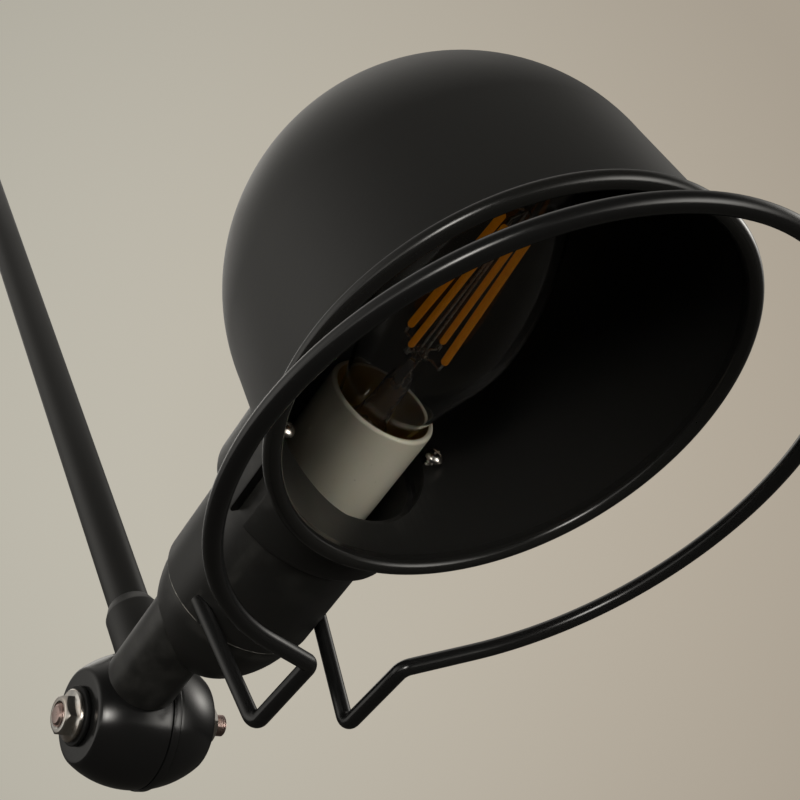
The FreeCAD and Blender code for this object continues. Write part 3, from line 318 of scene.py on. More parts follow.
def soften(thing, width, angle=28):
    """Small rounds on a piece's sharp edges, then smooth shading."""
    if width:
        apply_modifier(thing, "BEVEL", width=width * MM, segments=3, limit_method="ANGLE",
                       angle_limit=radians(angle))
    only(thing)
    bpy.ops.object.shade_smooth_by_angle(angle=radians(angle + 6))


def combine(thing, other, operation):
    """Join or trim a piece with another, which is used up."""
    apply_modifier(thing, "BOOLEAN", operation=operation, solver="EXACT", object=other)
    bpy.data.objects.remove(other)


def cut(thing, other):
    combine(thing, other, "DIFFERENCE")


def merge(thing, other):
    combine(thing, other, "UNION")


def rounded(start, end, radius, side, steps=10):
    """Points of an arc; side 1 puts its centre to the right of travel, -1 to the left."""
    start = Vector(start)
    end = Vector(end)
    chord = end - start
    left = Vector((-chord.y, chord.x)).normalized()
    sink = sqrt(max(radius ** 2 - (chord.length / 2) ** 2, 0))
    centre = (start + end) / 2 - left * sink * side
    first = start - centre
    last = end - centre
    sweep = abs(first.angle(last)) * -side
    points = []
    for step in range(steps + 1):
        turn = Matrix.Rotation(sweep * step / steps, 2)
        point = centre + turn @ first
        points.append((point.x, point.y))
    return points


def far_corner(along, radius, size, steps=4):
    """Round where an outline turns inwards at its far end."""
    return rounded((along - size, radius), (along, radius - size), size, 1, steps)


def low_corner(along, radius, size, steps=4):
    """Round where an outline turns along at its low end."""
    return rounded((along, radius - size), (along + size, radius), size, 1, steps)


def turned(name, outline, facets=FINE):
    """Piece turned about X: one ring, extruded and scaled from corner to corner."""
    along, radius = outline[0]
    radius = max(radius, AXIS)
    piece = made_by(bpy.ops.mesh.primitive_circle_add, name, vertices=facets,
                    radius=radius * MM, location=(along * MM, 0, 0), rotation=(0, pi / 2, 0))
    settle(piece)
    edit_all()
    for next_along, next_radius in outline[1:]:
        next_radius = max(next_radius, AXIS)
        bpy.ops.mesh.extrude_edges_move(
            TRANSFORM_OT_translate={"value": ((next_along - along) * MM, 0, 0)})
        scale = next_radius / radius
        bpy.ops.transform.resize(value=(1, scale, scale), center_override=(next_along * MM, 0, 0))
        along, radius = next_along, next_radius
    bpy.ops.mesh.select_all(action="SELECT")
    bpy.ops.mesh.remove_doubles(threshold=3 * AXIS * MM)
    turn_faces_out()
    return piece


def closed(outline):
    return outline + outline[:1]


def solid(outline):
    """Outline that meets the axis at both its ends."""
    return [(outline[0][0], 0)] + outline + [(outline[-1][0], 0)]


def pipe(low, high, inner, outer):
    """Outline of a plain ring or tube."""
    return closed([(low, inner), (low, outer), (high, outer), (high, inner)])


def rod(name, radius, low, high, facets=ROUND):
    """Plain closed cylinder along X."""
    return turned(name, solid([(low, radius), (high, radius)]), facets)


def block(name, size, centre):
    piece = made_by(bpy.ops.mesh.primitive_cube_add, name, size=1,
                    location=[value * MM for value in centre])
    piece.scale = [value * MM for value in size]
    return settle(piece)


def shift(thing, along=0.0, across=0.0, up=0.0, tilt=0.0):
    """Turn a piece about X by tilt, then move it."""
    thing.rotation_euler = (tilt, 0, 0)
    thing.location = (along * MM, across * MM, up * MM)
    return settle(thing)


def dress(thing, material):
    thing.data.materials.clear()
    thing.data.materials.append(material)


def fit(thing, place, body, material, slot, *nodes):
    """Put a finished piece in its place on its body, in its finish."""
    move_to(thing, place)
    dress(thing, material)
    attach(thing, body)
    if nodes:
        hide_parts(*nodes)


# Material helpers

FLOAT = "NodeSocketFloat"
COLOR = "NodeSocketColor"
VECTOR = "NodeSocketVector"
FINISH = [("Colour", COLOR), ("Roughness", FLOAT), ("Normal", VECTOR)]
SATIN = (0.014, 0.0138, 0.013)
NUMBERS = ("DOT_PRODUCT", "DISTANCE", "LENGTH")  # vector operations that give a number


def new_material(name):
    material = bpy.data.materials.new(name)
    material.use_nodes = True
    return material, material.node_tree, material.node_tree.nodes["Principled BSDF"]


def new_group(name, inputs, outputs):
    """Shader group with named sockets, and the two ends of what it does."""
    group = bpy.data.node_groups.new(name, "ShaderNodeTree")
    for way, sockets in (("INPUT", inputs), ("OUTPUT", outputs)):
        for label, kind in sockets:
            group.interface.new_socket(label, in_out=way, socket_type=kind)
    start = group.nodes.new("NodeGroupInput")
    end = group.nodes.new("NodeGroupOutput")
    return group, start.outputs, end


def feed(tree, made, sockets):
    """Link or set a node's sockets, each by its name and value."""
    for name, value in sockets:
        if isinstance(value, bpy.types.NodeSocket):
            tree.links.new(value, made.inputs[name])
        else:
            made.inputs[name].default_value = value


def node(tree, kind, sockets=(), **settings):
    """New node with its settings and sockets."""
    made = tree.nodes.new(kind)
    for name, value in settings.items():
        setattr(made, name, value)
    feed(tree, made, sockets)
    return made


def use(tree, group, **values):
    """Place a group in a material with its own values."""
    made = node(tree, "ShaderNodeGroup", node_tree=group)
    feed(tree, made, values.items())
    return made.outputs


def place_in(tree):
    """The shaded point, in the space of its piece."""
    return node(tree, "ShaderNodeTexCoord").outputs["Object"]


def noise(tree, place, scale, detail=2.0, roughness=0.5):
    return node(tree, "ShaderNodeTexNoise", [
        ("Vector", place), ("Scale", scale), ("Detail", detail),
        ("Roughness", roughness)]).outputs["Fac"]


def ramp(tree, value, low, high, top=1.0, bottom=0.0, **settings):
    """A value between low and high, brought to between bottom and top."""
    return node(tree, "ShaderNodeMapRange", [
        ("Value", value), ("From Min", low), ("From Max", high), ("To Min", bottom),
        ("To Max", top)], **settings).outputs[0]


def maths(tree, operation, *values):
    return node(tree, "ShaderNodeMath", enumerate(values), operation=operation).outputs[0]


def vector_math(tree, operation, *values):
    made = node(tree, "ShaderNodeVectorMath", enumerate(values), operation=operation)
    return made.outputs["Value" if operation in NUMBERS else "Vector"]


def scaled(tree, vector, scale):
    return node(tree, "ShaderNodeVectorMath", [(0, vector), ("Scale", scale)],
                operation="SCALE").outputs["Vector"]


def blend(tree, share, first, second, kind="RGBA"):
    return node(tree, "ShaderNodeMix", [("Factor", share), ("A", first), ("B", second)],
                data_type=kind).outputs["Result"]


def relief(tree, strength, deep, height):
    """Bump of a depth in millimetres."""
    return node(tree, "ShaderNodeBump", [
        ("Strength", strength), ("Distance", deep * MM), ("Height", height)]).outputs["Normal"]


def coat_group():
    """Sprayed paint: faint orange peel, cloudy sheen and fine dust."""
    group, given, end = new_group("Sprayed Coat", [
        ("Colour", COLOR), ("Roughness", FLOAT), ("Cloud", FLOAT), ("Dust", FLOAT),
        ("Peel", FLOAT)], FINISH)
    place = place_in(group)
    spread = maths(group, "SUBTRACT", noise(group, place, 38.0, 4.0, 0.6), 0.5)
    specks = ramp(group, noise(group, place, 2600.0), 0.66, 0.78)
    dust = maths(group, "MULTIPLY", specks, given["Dust"])
    peel = noise(group, place, 900.0)
    feed(group, end, [
        ("Colour", blend(group, dust, given["Colour"], (0.35, 0.33, 0.3, 1))),
        ("Roughness", maths(group, "MULTIPLY_ADD", spread, given["Cloud"], given["Roughness"])),
        ("Normal", relief(group, given["Peel"], 0.08, peel))])
    return group


def wear_group():
    """Mask of convex edges, where handling rubs a finish brighter."""
    group, given, end = new_group("Edge Rub", [("Amount", FLOAT)], [("Mask", FLOAT)])
    shape = node(group, "ShaderNodeNewGeometry").outputs["Pointiness"]
    patches = noise(group, place_in(group), 180.0, 3.0)
    both = maths(group, "MULTIPLY", ramp(group, shape, 0.52, 0.6),
                 ramp(group, patches, 0.4, 0.65))
    feed(group, end, [("Mask", maths(group, "MULTIPLY", both, given["Amount"]))])
    return group


def grain_group():
    """Fine scratches and cloudy tint of plated or turned metal."""
    group, given, end = new_group("Metal Grain", [
        ("Colour", COLOR), ("Tint", COLOR), ("Roughness", FLOAT), ("Scratch", FLOAT)], FINISH)
    place = place_in(group)
    tint = ramp(group, noise(group, place, 260.0, 3.0), 0.42, 0.66)
    stretch = node(group, "ShaderNodeMapping", [
        ("Vector", place), ("Scale", (6000.0, 900.0, 900.0))])
    lines = noise(group, stretch.outputs[0], 1.0)
    feed(group, end, [
        ("Colour", blend(group, tint, given["Colour"], given["Tint"])),
        ("Roughness", maths(group, "MULTIPLY_ADD", lines, given["Scratch"], given["Roughness"])),
        ("Normal", relief(group, 0.12, 0.03, lines))])
    return group


COAT = coat_group()
RUB = wear_group()
GRAIN = grain_group()


def reach_along(tree, start, way):
    """Distance of the shaded point from a place, along a direction."""
    away = vector_math(tree, "SUBTRACT", place_in(tree), start)
    return vector_math(tree, "DOT_PRODUCT", away, way)


def painted_glint_line(tree, start, way, near, far):
    """Mask of a painted highlight: a thin broken line between two distances from a place, straight out or along a
    way.
    """
    place = place_in(tree)
    if way:
        out = reach_along(tree, start, way)
    else:
        out = vector_math(tree, "DISTANCE", place, start)
    soft = (far - near) / 3
    both = maths(tree, "MULTIPLY", ramp(tree, out, near - soft, near),
                 ramp(tree, out, far + soft, far))
    kept = ramp(tree, noise(tree, place, 260.0), 0.36, 0.52)
    return maths(tree, "MULTIPLY", both, kept)


def surface(given):
    """What a finish group gives the shader."""
    return [("Base Color", given["Colour"]), ("Roughness", given["Roughness"]),
            ("Normal", given["Normal"])]


def painted(name, colour=SATIN, roughness=0.4, cloud=0.08, peel=0.12, rub=0.25, rim=None,
            line=None):
    """Sprayed paint over metal, rubbed a little at its edges.

    A rim can be glossier, and a line can carry a painted highlight: pale and glossier, where an edge would catch a
    glint.
    """
    material, tree, shader = new_material(name)
    coat = use(tree, COAT, Colour=(*colour, 1), Roughness=roughness, Cloud=cloud, Dust=0.02,
               Peel=peel)
    shown = blend(tree, use(tree, RUB, Amount=rub)["Mask"], coat["Colour"],
                  (0.09, 0.088, 0.082, 1))
    rough = coat["Roughness"]
    if line:
        # painted highlight: the line is pale and glossier, as a glint on the edge
        glint = painted_glint_line(tree, *line)
        shown = blend(tree, glint, shown, (0.8, 0.78, 0.72, 1))
        rough = blend(tree, glint, rough, 0.16, "FLOAT")
    if rim:
        start, way, near, far, gloss = rim
        band = ramp(tree, reach_along(tree, start, way), near, far)
        rough = blend(tree, band, rough, gloss, "FLOAT")
    feed(tree, shader, [
        ("Base Color", shown), ("Roughness", rough), ("Normal", coat["Normal"]),
        ("Specular IOR Level", 0.5)])
    return material


def plated(name, colour, tint, roughness):
    """Plated or bare metal."""
    material, tree, shader = new_material(name)
    grain = use(tree, GRAIN, Colour=(*colour, 1), Tint=(*tint, 1), Roughness=roughness,
                Scratch=0.12)
    feed(tree, shader, surface(grain) + [("Metallic", 1.0)])
    return material


def moulded(name, colour, roughness, specular=0.5):
    """Moulded plastic, fibre or rubber."""
    material, tree, shader = new_material(name)
    coat = use(tree, COAT, Colour=(*colour, 1), Roughness=roughness, Cloud=0.1, Dust=0.03,
               Peel=0.2)
    feed(tree, shader, surface(coat) + [("Specular IOR Level", specular)])
    return material


def glazed_porcelain():
    """Cream glaze with a faint speckle and a slow wave; inside the mouth it is darkened to brown as painted shade.
    """
    material, tree, shader = new_material("Cream Porcelain")
    place = place_in(tree)
    tone = blend(tree, noise(tree, place, 90.0, 3.0), (0.78, 0.73, 0.58, 1), (0.84, 0.8, 0.67, 1))
    specks = ramp(tree, noise(tree, place, 1500.0, 1.0), 0.74, 0.8, 0.35)
    spotted = blend(tree, specks, tone, (0.25, 0.2, 0.12, 1))
    # painted shade: the inner wall of the recess turns from cream to brown
    away = vector_math(tree, "SUBTRACT", place, HOLDER_SPOT)
    out = vector_math(tree, "LENGTH", vector_math(tree, "CROSS_PRODUCT", away, NECK))
    mouth = ramp(tree, out, (MOUTH_R + 0.25) * MM, (MOUTH_R - 0.05) * MM)
    feed(tree, shader, [
        ("Base Color", blend(tree, mouth, spotted, (0.5, 0.32, 0.08, 1))),
        ("Normal", relief(tree, 0.15, 0.2, noise(tree, place, 120.0, 1.0))),
        ("Roughness", 0.22), ("Coat Weight", 0.4), ("Coat Roughness", 0.12),
        ("Subsurface Weight", 0.08), ("Subsurface Scale", 3 * MM)])
    return material


def clear_glass(name, tint, waviness, fine=110.0, clear=1.0, sheen=0.5):
    """Clear glass with a slight wave."""
    material, tree, shader = new_material(name)
    wave = noise(tree, place_in(tree), fine, 1.0)
    feed(tree, shader, [
        ("Normal", relief(tree, waviness, 0.4, wave)),
        ("Roughness", ramp(tree, wave, 0.0, 1.0, 0.03)), ("Base Color", (*tint, 1)),
        ("Transmission Weight", clear), ("Specular IOR Level", sheen), ("IOR", 1.44)])
    return material


def amber_strip():
    """Coated strip: amber silicone, mottled, with a faint painted glow that lifts it in the dome's shade."""
    material, tree, shader = new_material("Amber Coating")
    mottle = noise(tree, place_in(tree), 700.0, 3.0)
    tone = blend(tree, mottle, (0.75, 0.22, 0.003, 1), (0.88, 0.33, 0.006, 1))
    feed(tree, shader, [
        ("Base Color", tone), ("Normal", relief(tree, 0.3, 0.1, mottle)), ("Roughness", 0.4),
        # painted glow: the strips give a little light of their own, though the bulb is not lit
        ("Emission Color", tone), ("Emission Strength", 0.07), ("Subsurface Weight", 0.3),
        ("Subsurface Radius", (1.0, 0.5, 0.1)), ("Subsurface Scale", 1.2 * MM)])
    return material


BLACK = painted("Satin Black Paint")
BLACK_BALL = painted("Smooth Black Paint", (0.0105,) * 3, 0.2, cloud=0.05, peel=0.03, rub=0.0)
BLACK_SHADE = painted("Satin Black Shade", rim=(
    DOME_MIDDLE, DOME_DOWN, (SKIRT_LONG - 2.3) * MM, (SKIRT_LONG - 1.7) * MM, 0.2))
# The sleeve's and the housing's lines are painted highlights along their rounded edges.
BLACK_SLEEVE = painted("Satin Black Sleeve", line=(
    HEAD, None, BALL_R * MM, (BALL_R + LINE_WIDE) * MM))
BLACK_HOUSING = painted("Satin Black Housing", line=(
    HEAD_AXIS, NECK, NECK_LOW * MM, (NECK_LOW + LINE_WIDE) * MM))
BLACK_RING = moulded("Dark Fibre", (0.014, 0.014, 0.013), 0.5)
RUBBER = moulded("Black Washer", (0.006, 0.006, 0.006), 0.6, specular=0.3)
ZINC = plated("Bright Zinc", (0.78, 0.76, 0.72), (0.7, 0.62, 0.55), 0.14)
BOLT_STEEL = plated("Bolt Steel", (0.62, 0.48, 0.44), (0.55, 0.38, 0.34), 0.24)
STEEL = plated("Plain Steel", (0.6, 0.59, 0.57), (0.5, 0.47, 0.42), 0.22)
BRASS = plated("Brass", (0.75, 0.52, 0.2), (0.6, 0.38, 0.14), 0.24)
NICKEL = plated("Nickel Cap", (0.66, 0.6, 0.48), (0.58, 0.46, 0.3), 0.2)
FIBRE = moulded("Brown Insulator", (0.09, 0.035, 0.015), 0.45)
COVER = moulded("Wire Covering", (0.06, 0.06, 0.065), 0.5)
TERMINAL = moulded("Terminal Plastic", (0.7, 0.68, 0.6), 0.4)
PORCELAIN = glazed_porcelain()
GLASS = clear_glass("Bulb Glass", (0.99, 0.985, 0.97), 0.03, sheen=0.12)
STEM_GLASS = clear_glass("Stem Glass", (0.95, 0.88, 0.85), 0.8, fine=420.0, clear=0.97, sheen=0.9)
AMBER = amber_strip()

SLOT_FINISH = dict(
    black_paint=BLACK, black_ring=BLACK_RING, black_rubber=RUBBER, zinc_steel=ZINC,
    insulator=FIBRE, brass_parts=BRASS, nickel_cap=NICKEL, wire_cover=COVER,
    terminal_plastic=TERMINAL, porcelain=PORCELAIN, clear_glass=GLASS, filament=AMBER)


def finish_cad_nodes():
    """Give every carried-over solid the finish of its slot."""
    for part in frame["record"]["subparts"]:
        dress(frame["nodes"][part["node"]], SLOT_FINISH[part["material_slot"]])


# Friction joints

def shell_arc(low, high, wall=0.0, steps=14):
    """Outline of the ball between two distances from the joint's middle."""
    radius = BALL_ARC - wall
    points = []
    for step in range(steps + 1):
        along = low + (high - low) * step / steps
        points.append((along, sqrt(radius ** 2 - along ** 2) - BALL_ARC + BALL_R))
    return points


def half_ball(name, side, face):
    """Half of the ball, hollow, with a flat for the washer; side is -1 or 1 along X."""
    inner = BALL_FLAT - BALL_WALL
    outside = shell_arc(face, BALL_FLAT - BRIM_BACK)
    brim = rounded(outside[-1], (BALL_FLAT, shell_arc(0, BALL_FLAT)[-1][1] - BRIM_IN),
                   BRIM_ROUND, 1, 5)
    inside = shell_arc(inner, face, BALL_WALL)
    outline = closed(outside + brim[1:] + [(BALL_FLAT, BOLT_R + SLIP), (inner, BOLT_R + SLIP)]
                     + inside)
    return turned(name, [(side * along, radius) for along, radius in outline])


def stub(name, way, side):
    """Short tube that leaves the ball along an arm; the ball's inside stays free."""
    piece = turned(name, pipe(STUB_ROOT, STUB_END, TUBE_R - STUB_WALL, TUBE_R), ROUND)
    move_to(piece, spot(HINGE * side * MM, way))
    inner = BALL_FLAT - BALL_WALL
    cut(piece, turned("ball_core", solid(shell_arc(-inner, inner, BALL_WALL * 0.6))))
    return piece


def friction_ring(name, place, body):
    proud = shell_arc(RING_LOW, RING_HIGH, steps=1)[0][1] + RING_PROUD
    ring = turned(name + "_seam_ring", pipe(RING_LOW, RING_HIGH, RING_BORE, proud))
    soften(ring, 0.25)
    fit(ring, place, body, BLACK_BALL, "black_ring", name + "_friction_ring")


def threaded_end(end, run, side):
    """Outline of a bolt's bare end: thread crests and a bevelled tip."""
    points = []
    for turn in range(int(run / BOLT_PITCH)):
        along = end - side * (run - turn * BOLT_PITCH)
        points += [(along, BOLT_R - BOLT_DEEP), (along + side * BOLT_PITCH * 0.35, BOLT_R),
                   (along + side * BOLT_PITCH * 0.6, BOLT_R)]
    return points + [(end - side * 0.7, BOLT_R - 0.1), (end, BOLT_R - 0.75), (end, 0)]


def joint_bolt(name, place, body):
    """Bolt through the joint, with thread where it stands out of its nuts."""
    far = threaded_end(BOLT_FAR, BOLT_THREAD, 1)
    near = threaded_end(-BOLT_NEAR, BOLT_THREAD, -1)
    bolt = turned(name + "_through_bolt", near[::-1] + far, ROUND)
    soften(bolt, 0.06, 40)
    fit(bolt, place, body, BOLT_STEEL, "zinc_steel", name + "_bolt")


def flange_nut():
    """Hexagon with its corners turned off, on a round flange; it stands along X."""
    corner = NUT_FLAT / sqrt(3)
    hexagon = rod("nut", corner, 0.4, NUT_HIGH, 6)
    chamfer = turned("nut_chamfer", solid([
        (0, corner + 1), (NUT_HIGH - 1.15, corner + 1), (NUT_HIGH - 0.95, corner),
        (NUT_HIGH - 0.06, NUT_FLAT / 2 - 0.35), (NUT_HIGH, NUT_FLAT / 2 - 0.55)]))
    combine(hexagon, chamfer, "INTERSECT")
    flange = turned("nut_flange", solid([
        (0, FLANGE_R - 0.2), (0.3, FLANGE_R), (FLANGE_HIGH, FLANGE_R),
        (FLANGE_HIGH + 0.25, FLANGE_R - 0.25), (FLANGE_HIGH + 0.9, NUT_FLAT / 2 - 0.2)]))
    merge(hexagon, flange)
    bore = turned("nut_bore", solid([
        (-1, BOLT_R + SLIP), (NUT_HIGH - 0.6, BOLT_R + SLIP),
        (NUT_HIGH + 0.4, BOLT_R + 1.05)]), ROUND)
    cut(hexagon, bore)
    soften(hexagon, 0.1, 25)
    return hexagon


NUT = flange_nut()


def nut_copy(name):
    """Copy of the nut, with a mesh of its own."""
    only(NUT)
    bpy.ops.object.duplicate()
    copy = bpy.context.object
    copy.name = name
    return copy


def joint_nuts(name, centre, body, tilt):
    """A nut and a washer at each end of the bolt."""
    for side, end in ((-1, "near"), (1, "far")):
        low = BALL_FLAT + (WASHER_GAP if side < 0 else 0)
        seat = low + WASHER_THICK
        disc = turned("%s_washer_%s" % (name, end), pipe(side * low, side * seat, WASHER_BORE,
                                                         WASHER_R))
        soften(disc, 0.3)
        fit(disc, Matrix.Translation(centre), body, RUBBER, "black_rubber", name + "_washers")
        nut = nut_copy("%s_nut_%s" % (name, end))
        facing = spot(centre + HINGE * side * seat * MM, HINGE * side, UPRIGHT, tilt)
        fit(nut, facing, body, ZINC, "zinc_steel", name + "_nuts")


def tube_collar(name, centre, way, side, body, replaced):
    """Collar over a tube's end, with a cone at its upper end."""
    piece = turned(name, closed([
        (COLLAR_LOW, TUBE_R + SLIP), (COLLAR_LOW, COLLAR_R),
        (COLLAR_HIGH - COLLAR_TAPER, COLLAR_R), (COLLAR_HIGH, TUBE_R + COLLAR_LIP),
        (COLLAR_HIGH, TUBE_R + SLIP)]))
    soften(piece, 0.25, 20)
    fit(piece, spot(centre + HINGE * side * MM, way), body, BLACK, "black_paint", replaced)


def arm_tube(name, centre, way, side, length, body, replaced):
    """Drawn tube between two joints."""
    run = length / MM
    inside = TUBE_R - TUBE_WALL
    piece = turned(name, closed([
        (STUB_END, inside), (STUB_END, TUBE_R), (run / 3, TUBE_R), (run * 2 / 3, TUBE_R),
        (run - STUB_END, TUBE_R), (run - STUB_END, inside)]))
    soften(piece, 0.15)
    fit(piece, spot(centre + HINGE * side * MM, way), body, BLACK, "black_paint", replaced)


def joint(name, centre, near_body, far_body, near_way, far_way, tilt, sleeve=False):
    """Both halves of a joint's ball, the stubs of its arms, its ring, bolt and nuts."""
    place = Matrix.Translation(centre)
    near = half_ball(name + "_ball_near", -1, RING_GAP - RING_LOW)
    far = half_ball(name + "_ball_far", 1, RING_HIGH + RING_GAP)
    if not sleeve:
        merge(near, stub("near_stub", near_way, -ARM_SIDE))
    merge(far, stub("far_stub", far_way, ARM_SIDE))
    soften(near, 0.22)
    soften(far, 0.22)
    fit(near, place, near_body, BLACK_BALL, "black_paint", name + "_near_shell")
    fit(far, place, far_body, BLACK_BALL, "black_paint", name + "_far_shell")
    friction_ring(name, place, far_body)
    joint_bolt(name, place, far_body)
    joint_nuts(name, centre, far_body, tilt)


def arms():
    """Both arms, their collars, and the three joints."""
    joint("shoulder", SHOULDER, "rear_arm", "swivel", REAR_ARM, -OUTWARD, SHOULDER_NUT_TURN)
    joint("elbow", ELBOW, "rear_arm", "front_arm", -REAR_ARM, FRONT_ARM, ELBOW_NUT_TURN)
    joint("head", HEAD, "head_joint", "front_arm", NECK, -FRONT_ARM, HEAD_NUT_TURN, True)
    arm_tube("rear_tube", SHOULDER, REAR_ARM, -ARM_SIDE, (ELBOW - SHOULDER).length,
             "rear_arm", "rear_arm_tube")
    arm_tube("front_tube", ELBOW, FRONT_ARM, ARM_SIDE, (HEAD - ELBOW).length,
             "front_arm", "front_arm_tube")
    tube_collar("stem_collar_ring", SHOULDER, -OUTWARD, ARM_SIDE, "swivel", "stem_collar")
    for name, centre, way, side, body in (
            ("rear_collar_low", SHOULDER, REAR_ARM, -ARM_SIDE, "rear_arm"),
            ("rear_collar_high", ELBOW, -REAR_ARM, -ARM_SIDE, "rear_arm"),
            ("front_collar_high", ELBOW, FRONT_ARM, ARM_SIDE, "front_arm"),
            ("front_collar_low", HEAD, -FRONT_ARM, ARM_SIDE, "front_arm")):
        tube_collar(name, centre, way, side, body, body + "_collars")


# Wall plate, its ears and the swivel between them

def wall_plate():
    root = rounded((PLATE_THICK, BOSS_R + BOSS_ROOT), (PLATE_THICK + BOSS_ROOT, BOSS_R),
                   BOSS_ROOT, -1, 8)
    piece = turned("wall_plate_disc", closed([
        (0, CAVITY_R), (0, PLATE_R), (PLATE_EDGE, PLATE_R),
        (PLATE_THICK, PLATE_R - PLATE_BEVEL)] + root + [
        (BOSS_LONG, BOSS_R), (BOSS_LONG, AXIS), (CAVITY_DEEP, AXIS), (CAVITY_DEEP, CAVITY_R)]))
    pivot = spot(ALONG * (PIVOT_OUT * MM), UPRIGHT, SIDEWAYS)
    for side in (-1, 1):
        middle = side * (EAR_LOW + EAR_HIGH) / 2
        thick = EAR_HIGH - EAR_LOW
        ear = block("ear", (PIVOT_OUT - BOSS_LONG + 1, 2 * EAR_R, thick),
                    ((PIVOT_OUT + BOSS_LONG - 1) / 2, 0, middle))
        end = rod("ear_end", EAR_R, middle - thick / 2, middle + thick / 2, FINE)
        merge(ear, move_to(end, pivot))
        merge(piece, ear)
    bore = rod("pivot_bore", BOLT_R + 0.02, -EAR_HIGH - 2, EAR_HIGH + 2)
    cut(piece, move_to(bore, pivot))
    for turn in range(3):
        hole = turned("wall_screw_hole", solid([
            (-1, PLATE_HOLE_R), (PLATE_THICK - 1.6, PLATE_HOLE_R),
            (PLATE_THICK + 0.2, PLATE_HOLE_R + 1.8)]), ROUND)
        angle = pi / 2 + turn * 2 * pi / 3
        cut(piece, shift(hole, across=PLATE_HOLE_OUT * cos(angle),
                         up=PLATE_HOLE_OUT * sin(angle)))
    soften(piece, 0.4)
    fit(piece, spot(ORIGIN, OUTWARD), "wall_base", BLACK, "black_paint", "wall_plate")


def swivel_block():
    """Upright block between the ears, with the stem that leads to the shoulder."""
    piece = turned("swivel_body", closed(
        [(-BLOCK_HALF, BOLT_R + SLIP)] + low_corner(-BLOCK_HALF, BLOCK_R, 1)
        + far_corner(BLOCK_HALF, BLOCK_R, 1) + [(BLOCK_HALF, BOLT_R + SLIP)]))
    move_to(piece, spot(ORIGIN, UPRIGHT, SIDEWAYS))
    merge(piece, turned("stem", pipe(BLOCK_R - STEM_SUNK, STEM_LONG, DUCT_R, TUBE_R)))
    soften(piece, 0.25)
    fit(piece, spot(PIVOT, OUTWARD), "swivel", BLACK, "black_paint", "swivel_block")


def swivel_bolt():
    """Socket-head bolt through both ears, over a washer, with a nut below."""
    seat = EAR_HIGH + WASHER_THICK
    top = seat + PIVOT_HEAD_HIGH
    low = -EAR_HIGH - NUT_HIGH - 1.5
    end = threaded_end(low, PIVOT_THREAD, -1)
    piece = turned("swivel_socket_bolt", end[::-1] + [(seat, BOLT_R), (seat, PIVOT_HEAD_R)]
                   + far_corner(top, PIVOT_HEAD_R, 0.9) + [(top, 0)], ROUND)
    cut(piece, rod("socket", SOCKET_R, top - SOCKET_DEEP, top + 1, 6))
    soften(piece, 0.08, 30)
    upright = spot(PIVOT, UPRIGHT)
    fit(piece, upright, "wall_base", ZINC, "zinc_steel", "swivel_bolt")
    ring = turned("swivel_top_washer", pipe(EAR_HIGH, seat, WASHER_BORE, WASHER_R))
    soften(ring, 0.3)
    fit(ring, upright, "wall_base", ZINC, "zinc_steel", "swivel_washer")
    nut = nut_copy("swivel_lower_nut")
    fit(nut, spot(PIVOT - UPRIGHT * EAR_HIGH * MM, -UPRIGHT), "wall_base", ZINC,
        "zinc_steel", "swivel_nut")


# Head joint's sleeve and the housing's rear cap

def head_sleeve():
    piece = turned("neck_sleeve", pipe(SLEEVE_LOW, SLEEVE_HIGH, SLEEVE_R - SLEEVE_WALL, SLEEVE_R))
    joint_middle = spot(SIDEWAYS * (SLEEVE_SIDE * MM), SIDEWAYS, UPRIGHT)
    ball = turned("ball_cutter", solid(shell_arc(-BALL_FLAT, RING_LOW)))
    cut(piece, move_to(ball, joint_middle))
    seam = rod("seam_cutter", BALL_R + RING_PROUD + RING_GAP, RING_LOW - RING_GAP, SLEEVE_R, FINE)
    cut(piece, move_to(seam, joint_middle))
    soften(piece, 0.5)
    place = spot(HEAD - HINGE * SLEEVE_SIDE * MM, NECK)
    fit(piece, place, "head_joint", BLACK_SLEEVE, "black_paint", "head_sleeve")


def rear_cap():
    tail = rounded((CAP_TAIL, 0), (CAP_MID, CAP_MID_R), CAP_TAIL_ARC, 1)
    side = rounded((CAP_MID, CAP_MID_R), (CAP_END, CAP_R), CAP_SIDE_ARC, 1)
    bend = (CAP_MID + CAP_WEB, CAP_MID_R - CAP_WALL)
    bore = SPIGOT_R - CAP_WALL
    inside = rounded((CAP_END - CAP_WALL, bore), bend, CAP_SIDE_ARC - CAP_WALL, -1)
    inside += rounded(bend, (CAP_TAIL + CAP_WALL, 0), CAP_TAIL_ARC - CAP_WALL, -1)[1:]
    piece = turned("housing_rear_cap", tail + side[1:] + [
        (CAP_END, SPIGOT_R), (SPIGOT_END, SPIGOT_R), (SPIGOT_END, bore)] + inside)
    hole = rod("sleeve_hole", SLEEVE_R - SLIP, SLEEVE_LOW, SLEEVE_HIGH + 2, FINE)
    cut(piece, shift(hole, across=-SLEEVE_SIDE - HEAD_SIDE))
    soften(piece, 0.3)
    fit(piece, HEAD_JOINT, "head_joint", BLACK, "black_paint", "rear_cap")


# Lamp head

def lamp_fit(thing, material, slot, *nodes):
    fit(thing, LAMP, "lamp_head", material, slot, *nodes)


def leg_point(reach):
    """Place on the guard's plane where a leg runs, in the lamp's own frame."""
    drop = GUARD_DROP + (reach - GUARD_REACH) * tan(GUARD_TILT)
    return Vector((reach, GUARD_WAIST, -drop))


